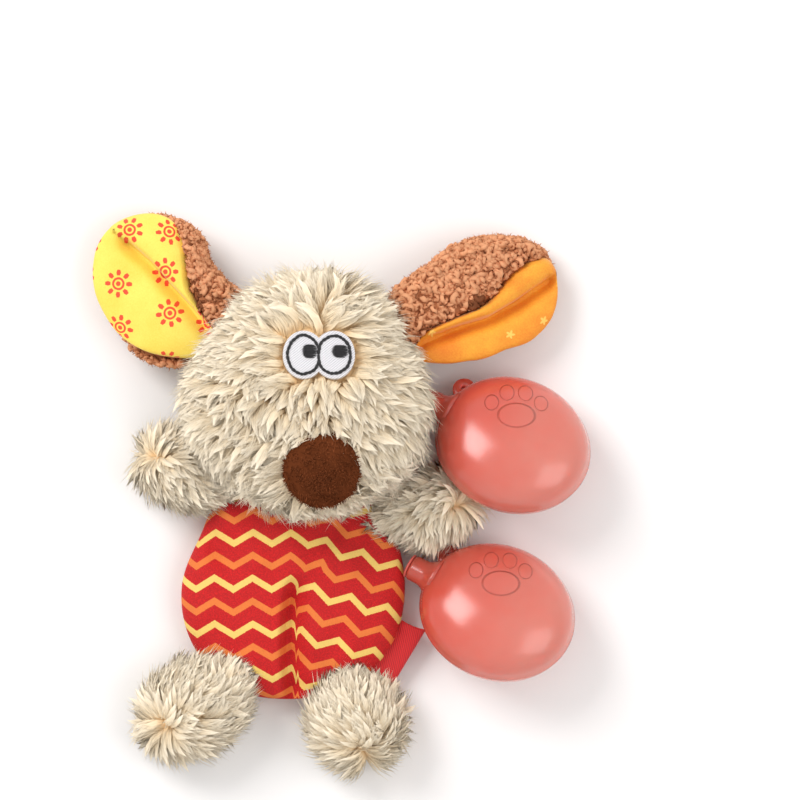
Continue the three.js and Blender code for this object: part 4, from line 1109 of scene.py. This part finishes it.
def body_print(bm, form):
    """Lays the print on the cloth: it follows the way down each side, and is turned on the right of the fold."""
    spots = {}
    middle = form.place.translation
    for vertex in bm.verts:
        local = vertex.co - middle
        rim = Vector(form.rim(math.atan2(local.y, local.x)))
        reach = min(1, local.xy.length / rim.length)
        length, last = 0, None
        for i in range(17):
            part = reach * i / 16
            rise = (1 - part * part) ** (form.fullness / 2) * form.front
            here = Vector((rim.length * part, rise))
            length += (here - last).length if last else 0
            last = here
        x, y = rim.normalized() * length + middle.xy
        wide = mix(1.0, 15, smooth(y, 1, 13))
        share = smooth(x, 0.5 - wide / 4, 0.5 + wide)
        straight = Vector((x, y - SLANT_FROM))
        x, y = straight.lerp(Matrix.Rotation(math.radians(SLANT), 2) @ straight, share)
        y += SLANT_FROM
        spots[vertex.index] = ((x + 12.3) / ZIGZAG_WIDTH + 0.5, (y - 19.5) / ZIGZAG_STEP + 0.25)
    lay_print(bm, lambda vertex: spots[vertex.index])


def sharp_fold(x, y):
    """The lift of the body's front, with the fold's left side steep and its right side sloping in under it."""
    fold_x = -0.4 + 1.2 * math.sin(math.pi * y / BODY_HALF[1])
    along = smooth(-y, -5.5, 3.5)
    spread = 1.5 if x < fold_x else 5.2
    fold = -5.6 * along * swell(x - fold_x, 0, spread)
    slack = -2.6 * swell(x + 17.5, y - 13, 6) + 0.9 * swell(x + 9, y - 9, 6) - 1.3 * swell(x - 13, y - 17, 5)
    ripple = 0.8 * math.sin(0.42 * x + 0.16 * y) * smooth(y, -4, 14)
    ripple = ripple + 0.9 * noise.noise(Vector((x * 0.13, y * 0.11, 3)))
    return fold + slack + ripple


front_form = body_form()
front_form.lift = sharp_fold
front = front_form.mesh(180, 88, lambda ball: ball.z > 0)
back = body_form().mesh(140, 60, lambda ball: ball.z < 0)
keep_above(back)
for side, bm, form in (("front", front, front_form), ("back", back, body_form())):
    bm.verts.index_update()
    body_print(bm, form)
    panel = finish(bm, "body_%s_cloth" % side, "body", ["body_%s_panel" % side], ZIGZAG)
    wall = panel.modifiers.new("cloth_thickness", "SOLIDIFY")
    wall.thickness, wall.offset = CLOTH * MM, -1


# -------- arms and legs

# Each: where on the body's rim, the way that it points, half its length and width and its height as shares of half the
# body's height, how far it is pulled across and up, and its locks of pile
LIMBS = [
    ("arm_left", 132, 155, 0.495, 0.345, 0.51, (2, 5), 1150),
    ("arm_right", 38, 10, 0.51, 0.345, 0.45, (0, 0), 1100),
    ("leg_left", 234, 212, 0.57, 0.42, 0.57, (4, 0), 1400),
    ("leg_right", 300, 284, 0.47, 0.43, 0.55, (-1, 0), 1400),
]


def inside(form, point, room=0.0):
    local = form.place.inverted() @ point
    reach = form.reach(local.x, local.y)
    if reach >= 1:
        return False
    high = (1 - reach * reach) ** (form.fullness / 2)
    return -form.back * high - room < local.z < form.front * high + room


def press_out(bm, form, way):
    """Moves what lies inside a form out along a way, as a stuffed piece is pressed flat against its neighbour."""
    for vertex in bm.verts:
        for _ in range(60):
            if not inside(form, vertex.co):
                break
            vertex.co += way * 0.4


def limb(name, side, aim, half_length, half_width, height, pull, count, seed):
    rim_x, rim_y = outline(BODY_SHARES, *BODY_HALF)(math.radians(side))
    half_length, half_width, height = (share * BODY_HALF[1] for share in (half_length, half_width, height))
    way = Vector((math.cos(math.radians(aim)), math.sin(math.radians(aim)), 0))
    root = Vector((BODY_AT.x + rim_x, BODY_AT.y + rim_y, height / 2 - 0.5))
    middle = root + way * (half_length - 5) + Vector((*pull, 0))

    def form_of(grow):
        rim = outline(LIMB_SHARES, half_length, half_width, grow)
        return Form(rim, height / 2 + grow, height / 2 + grow, 0.7, turned(*middle, aim))

    body_room, head_room = body_form(0.3), head_form(0.3)
    skin = form_of(-6.2)
    skin.front = skin.back = height / 2 - 2.6
    bm = skin.mesh(40, 28)
    press_out(bm, body_room, way)
    press_out(bm, head_room, way)
    # the backing takes nearly the root colour: painted shade between the locks
    mark(bm, tip=0.12, tone=0.5, across=0.5)
    keep_above(bm, SURFACE + 0.3)
    crown = middle + way * half_length * 0.55

    def flow(point):
        away, far = away_in_plan(point, crown)
        return away / max(far, 3) + Vector((0, 0, 0.1))

    def lean_of(point, ball):
        return mix(62, 80, smooth(ball.z, 0.0, 0.8))

    def keep(ball, point):
        return not inside(body_room, point, 0.5) and not inside(head_room, point, 0.5)

    places = spread_places(skin, count, seed, keep)
    pile = grow_pile(bm, places, PAW_LOCKS, PAW_PILE, seed, flow, lean_of)
    lay_over(bm, body_form(), 0.5)
    keep_above(bm)
    finish(bm, name + "_fur", name, [name], CREAM_PILE, pile=pile)


for number, row in enumerate(LIMBS):
    limb(*row, 40 + number)


# -------- ears

# Places in plan, in millimetres. Each ear is a cupped sheet: its lining faces up, the fleece on its back comes round
# one side as a thick roll, and the lining is creased beside that roll. lining and fleece are outlines round a middle,
# lip is the side of the lining along the roll and crease the valley in it, both from the end where the roll lies on
# their left.
EARS = [
    dict(
        name="ear_left",
        base=(-18.6, 81),
        aim=152,
        middle=(-43, 94),
        lining=[
            (-41.4, 115.5), (-36.3, 113.2), (-32.6, 107.6), (-31.2, 100.8), (-30, 92.4), (-26.6, 84.9), (-21, 77.4),
            (-27.9, 72.3), (-35.4, 72), (-42.9, 73.5), (-50.4, 77.4), (-56.7, 84.9), (-60, 92.4), (-60.6, 99.9),
            (-59.1, 106.5), (-54.9, 111.9), (-48.9, 114.9),
        ],
        fleece_middle=(-39, 93),
        fleece=[
            (-42.5, 114.2), (-34.5, 112.6), (-28.5, 108), (-25.8, 101), (-21.5, 95.2), (-16.5, 91.4), (-13, 86.4),
            (-18.6, 77.2), (-26.4, 71.8), (-33, 70.6), (-39.9, 70.8), (-46.2, 73.4), (-50, 78.4), (-54.4, 85),
            (-57, 91.5), (-57.6, 99.5), (-56.2, 105.4), (-52.6, 110), (-48, 112.8),
        ],
        lip=[
            (-44, 116.5), (-36.3, 113.2), (-32.6, 107.6), (-31.2, 100.8), (-30, 92.4), (-26.6, 84.9), (-21, 77.4),
        ],
        crease=[
            (-49.5, 106.5), (-42.9, 100.8), (-36.9, 93.9), (-29.4, 86), (-24.3, 80),
        ],
        lip_widths=(9, 4),
        roll=6.0,
    ),
    dict(
        name="ear_right",
        base=(30, 78),
        aim=18,
        middle=(62.1, 84),
        lining=[
            (36.6, 75.9), (38.4, 79.2), (44.1, 82.5), (49.5, 84.6), (54.3, 86.7), (58.5, 89.4), (62.1, 93.9),
            (65.4, 97.8), (70.8, 101.4), (75.9, 102.3), (78.9, 99.3), (79.8, 94.5), (78.3, 84.9), (72.9, 78.3),
            (63.6, 74.4), (53.1, 71.1), (44.1, 70.2), (38.1, 70.8), (33.6, 72.9),
        ],
        fleece_middle=(54.6, 87.9),
        fleece=[
            (27.6, 85.8), (28.5, 89.4), (32.1, 93), (41.1, 99.6), (51.3, 106.2), (60.6, 108.0), (69.0, 107.4),
            (74.6, 104.6), (77.2, 100.6), (77.6, 95), (75.9, 85.8), (70.6, 80.3), (62.6, 76.8), (53.1, 73.6),
            (44.1, 72.8), (35.1, 72.8), (29.1, 77.4),
        ],
        lip=[
            (33, 75), (38.4, 79.2), (44.1, 82.5), (49.5, 84.6), (54.3, 86.7), (58.5, 89.4), (62.1, 93.9),
            (65.4, 97.8), (70.8, 101.4), (77, 103.5),
        ],
        crease=[
            (36.5, 76.4), (49.5, 81.2), (58.5, 84), (67.2, 89), (74.4, 94), (76.6, 95.6),
        ],
        lip_widths=(3, 10),
        roll=7.0,
    ),
]
EAR_TILT = 11
EAR_BASE_HEIGHT = 17.5


def traced(points, middle):
    """A smooth closed outline through points in plan, round a middle from which all of them are seen."""
    spots = [(x - middle[0], y - middle[1]) for x, y in points]
    ring = sorted((math.atan2(y, x), math.hypot(x, y)) for x, y in spots)
    turn = 2 * math.pi

    def rim(angle):
        angle = (angle + math.pi) % turn - math.pi
        after = next((i for i, (spot, _) in enumerate(ring) if spot > angle), len(ring))
        corners = []
        for step in (-2, -1, 0, 1):
            lap, index = divmod(after + step, len(ring))
            corners.append((ring[index][0] + lap * turn, ring[index][1]))
        (a0, r0), (a1, r1), (a2, r2), (a3, r3) = corners
        t, gap = (angle - a1) / (a2 - a1), a2 - a1
        rise_1, rise_2 = (r2 - r0) / (a2 - a0) * gap, (r3 - r1) / (a3 - a1) * gap
        reach = r1 + t * (rise_1 + t * (3 * (r2 - r1) - 2 * rise_1 - rise_2 + t * (2 * (r1 - r2) + rise_1 + rise_2)))
        return math.cos(angle) * reach, math.sin(angle) * reach

    return rim


def beside(line, x, y):
    """How far a place lies from a line in plan, less than 0 on the line's right, and how far along the line, 0 to 1."""
    best = (1e9, 1, 0)
    for i, (a, b) in enumerate(zip(line, line[1:])):
        way, off = Vector(b) - Vector(a), Vector((x, y)) - Vector(a)
        t = min(1, max(0, off.dot(way) / way.length_squared))
        gap = (off - way * t).length
        if gap < best[0]:
            best = (gap, math.copysign(1, way.x * off.y - way.y * off.x), (i + t) / (len(line) - 1))
    return best[0] * best[1], best[2]


def ear_place(ear, middle, sink):
    """The frame of a piece of the ear: round its middle, and falling away from the head."""
    aim = math.radians(ear["aim"])
    out = (middle[0] - ear["base"][0]) * math.cos(aim) + (middle[1] - ear["base"][1]) * math.sin(aim)
    height = EAR_BASE_HEIGHT - out * math.tan(math.radians(EAR_TILT)) - sink
    tilt = Matrix.Rotation(math.radians(EAR_TILT), 4, Vector((-math.sin(aim), math.cos(aim), 0)))
    return Matrix.Translation((*middle, height)) @ tilt


def lining_form(ear):
    middle = ear["middle"]

    def lift(x, y):
        off, along = beside(ear["crease"], x + middle[0], y + middle[1])
        width = mix(*ear["lip_widths"], along**1.5)
        valley = -4.6 * math.exp(-((off / (0.7 if off > 0 else 2.6)) ** 2))
        ridge = 3.4 * math.exp(-(((off - width * 0.6) / (width * 0.6)) ** 2)) if off > 0 else 0.0
        slack = 0.6 * noise.noise(Vector((x * 0.09, y * 0.09, ear["aim"])))
        return max(-4.4, valley + ridge * smooth(off, 0, 1.0) + slack)

    return Form(traced(ear["lining"], middle), 3.6, 1.2, 0.4, ear_place(ear, middle, 0), lift)


def fleece_form(ear):
    middle = ear["fleece_middle"]

    def lift(x, y):
        off = beside(ear["lip"], x + middle[0], y + middle[1])[0]
        lumps = 0.9 * noise.noise(Vector((x * 0.25, y * 0.25, ear["aim"])))
        return (ear["roll"] + lumps) * smooth(off, -1.6, 1.4)

    return Form(traced(ear["fleece"], middle), 0.6, 4.2, 0.5, ear_place(ear, middle, 2.4), lift)


def curl_mesh(seed):
    """One knob of curly fleece: a short thick curl."""
    rng = random.Random(seed)
    bm = bmesh.new()
    bm.verts.layers.float.new("tip")  # set_curl gives its values
    tone = bm.verts.layers.float.new("tone")
    loop, thick = rng.uniform(0.7, 1.1), rng.uniform(0.62, 0.85)
    stand = Matrix.Translation((loop, 0, 0)) @ Matrix.Rotation(math.pi / 2, 4, "X")
    bmesh.ops.create_circle(bm, segments=4, radius=thick, cap_ends=False, matrix=stand)
    turns = math.radians(rng.uniform(250, 330))
    climb = (0, 0, rng.uniform(0.06, 0.14))
    geom = bm.verts[:] + bm.edges[:]
    bmesh.ops.spin(bm, geom=geom, cent=(0, 0, 0), axis=(0, 0, 1), dvec=climb, angle=turns, steps=7)
    bmesh.ops.holes_fill(bm, edges=[edge for edge in bm.edges if edge.is_boundary], sides=4)
    shade = rng.random()
    for vertex in bm.verts:
        vertex.co += Vector(noise.noise_vector(vertex.co * 0.9 + Vector((seed, 0, 0)))) * 0.22
        vertex[tone] = shade
    bmesh.ops.recalc_face_normals(bm, faces=bm.faces)
    return made_mesh(bm, "curl")


CURLS = [curl_mesh(seed) for seed in range(60, 76)]
FLEECE_CURLS, FLEECE_NAP = 2600, 6500


def set_curl(bm, rng, point, normal, size):
    """Sets a curl on a surface, turned by chance, with painted light: paler on the side that stands out and darker on
    its underside, where it lies in shade.
    """
    turn = stand_on(point - normal * 0.3, normal, chance(rng, 1), size)
    tilt = Matrix.Rotation(rng.uniform(-1.2, 1.2), 4, "X") @ Matrix.Rotation(rng.uniform(0, 6.28), 4, "Z")
    before = len(bm.verts)
    put(bm, rng.choice(CURLS), turn @ tilt)
    bm.verts.ensure_lookup_table()
    # painted light: tip grows with how far a point of the curl stands out along the normal
    tip = bm.verts.layers.float["tip"]
    for vertex in bm.verts[before:]:
        vertex[tip] = smooth((vertex.co - point).dot(normal), -0.9, 1.3)


def fleece_ear(ear, seed):
    form, cover = fleece_form(ear), lining_form(ear)
    bm = form.mesh(96, 56)
    for vertex in bm.verts:
        vertex.co += Vector(noise.noise_vector(vertex.co * 0.5)) * 0.3
    # the backing takes a dark pile colour: painted shade under the curls
    mark(bm, tip=0.3, tone=0.4, across=0)

    def keep(ball, point):
        return ball.z < 0.1 or beside(ear["lip"], point.x, point.y)[0] > -0.2

    rng = random.Random(seed)
    for point, normal, ball in spread_places(form, FLEECE_CURLS, seed, keep):
        set_curl(bm, rng, point, normal, rng.uniform(0.6, 1.35))
    bm.normal_update()
    tip = bm.verts.layers.float["tip"]
    wool = [(vertex.co.copy(), vertex.normal.copy()) for vertex in bm.verts if vertex[tip] > 0.35]
    for point, normal in rng.sample(wool, min(len(wool), FLEECE_NAP)):
        lie = chance(rng, 1)
        put(bm, rng.choice(SHORT_NAP), stand_on(point, normal, lie, rng.uniform(0.6, 1.0)))
    under_lining(bm, cover)
    keep_above(bm)
    name = ear["name"]
    finish(bm, name + "_fleece", name, [name], FLEECE_PILE)


def under_lining(bm, cover):
    """Keeps the fleece under the lining where the lining lies over it."""
    back = cover.place.inverted()
    for vertex in bm.verts:
        local = back @ vertex.co
        rim_x, rim_y = cover.rim(math.atan2(local.y, local.x))
        if math.hypot(local.x, local.y) < math.hypot(rim_x, rim_y) - 0.8 and local.z > -1.4:
            local.z = -1.4
            vertex.co = cover.place @ local


def ear_lining(ear, surface):
    """The print is laid in plan and goes on down the lining's upright edge at its own size."""
    form = lining_form(ear)
    bm = form.mesh(160, 90)
    back, turn = form.place.inverted(), form.place.to_3x3()

    def on_print(vertex):
        local = back @ vertex.co
        reach = min(1, form.reach(local.x, local.y))
        drop = form.front * (1 - (1 - reach * reach) ** (form.fullness / 2))
        return vertex.co.xy + (turn @ Vector((local.x, local.y, 0)).normalized() * drop).xy

    lay_print(bm, on_print)
    keep_above(bm)
    name = ear["name"] + "_lining"
    finish(bm, name + "_cloth", ear["name"], [name], surface)


for number, ear in enumerate(EARS):
    fleece_ear(ear, 80 + number)
    ear_lining(ear, (SUN_PRINT, STAR_PRINT)[number])


# -------- side label

LABEL_PLACE = turned(28.74, -15.83, 6, -31)
LABEL_WIDTH, LABEL_REACH, LABEL_SINK, LEAF = 19, 6.4, 1.2, 0.62


def label_cloth():
    """A ribbon folded double. Its ends are in the seam and its fold stands out."""
    bm = bmesh.new()
    bmesh.ops.create_grid(bm, x_segments=30, y_segments=24, size=0.5)
    straight = LABEL_REACH + LABEL_SINK - LEAF
    arc = math.pi * LEAF
    for vertex in bm.verts:
        along, y = (vertex.co.x + 0.5) * (2 * straight + arc), vertex.co.y * LABEL_WIDTH
        if along < straight:
            x, z = along - LABEL_SINK, LEAF
        elif along < straight + arc:
            turn = (along - straight) / LEAF
            x, z = straight - LABEL_SINK + LEAF * math.sin(turn), LEAF * math.cos(turn)
        else:
            x, z = straight - LABEL_SINK - (along - straight - arc), -LEAF
        curl = 0.5 * smooth(x, 0, LABEL_REACH) * math.sin(y * 0.22)
        vertex.co = LABEL_PLACE @ Vector((x, y + 0.06 * x * x * 0.5, z * 0.9 + curl))
    bmesh.ops.recalc_face_normals(bm, faces=bm.faces)
    piece = finish(bm, "side_label_ribbon", "side_label", ["side_label"], RIBBON)
    wall = piece.modifiers.new("ribbon_thickness", "SOLIDIFY")
    wall.thickness, wall.offset = 0.45 * MM, 0


label_cloth()


# -------- floor, light and camera

floor_mesh = bmesh.new()
bmesh.ops.create_grid(floor_mesh, x_segments=1, y_segments=1, size=3)
plane = made_mesh(floor_mesh, "floor")
floor = bpy.data.objects.new("floor", plane)
bpy.context.scene.collection.objects.link(floor)
material, tree, shader, place = finish_of("pale_floor", 0.9)
grain = noise_value(tree, place, 60.0, 2)
dress(tree, shader, blend_colours(tree, grain, (0.965, 0.955, 0.95), (0.955, 0.945, 0.94)))
plane.materials.append(material)

world = bpy.context.scene.world or bpy.data.worlds.new("studio")
bpy.context.scene.world = world
world.use_nodes = True
world.node_tree.nodes["Background"].inputs["Color"].default_value = (1, 1, 1, 1)
world.node_tree.nodes["Background"].inputs["Strength"].default_value = 0.75


def softbox(name, x, y, z, size, power):
    lamp = bpy.data.lights.new(name, "AREA")
    lamp.shape, lamp.size, lamp.energy = "SQUARE", size, power
    box = bpy.data.objects.new(name, lamp)
    box.location = (x, y, z)
    box.rotation_euler = (Vector((0.03, 0.05, 0.01)) - box.location).to_track_quat("-Z", "Y").to_euler()
    bpy.context.scene.collection.objects.link(box)


softbox("softbox_left", -0.75, 0.75, 1.0, 0.7, 12.0)
softbox("softbox_right", 0.9, -0.1, 1.1, 0.9, 5.0)

# a long lens straight above, as the photograph was taken
camera = bpy.data.cameras.new("camera")
camera.sensor_width = 36
camera.lens = 297
camera.clip_end = 20
stand = bpy.data.objects.new("camera", camera)
stand.location = (0.0321, 0.0594, 2.0)
bpy.context.scene.collection.objects.link(stand)
bpy.context.scene.camera = stand
bpy.context.scene.view_settings.view_transform = "Standard"
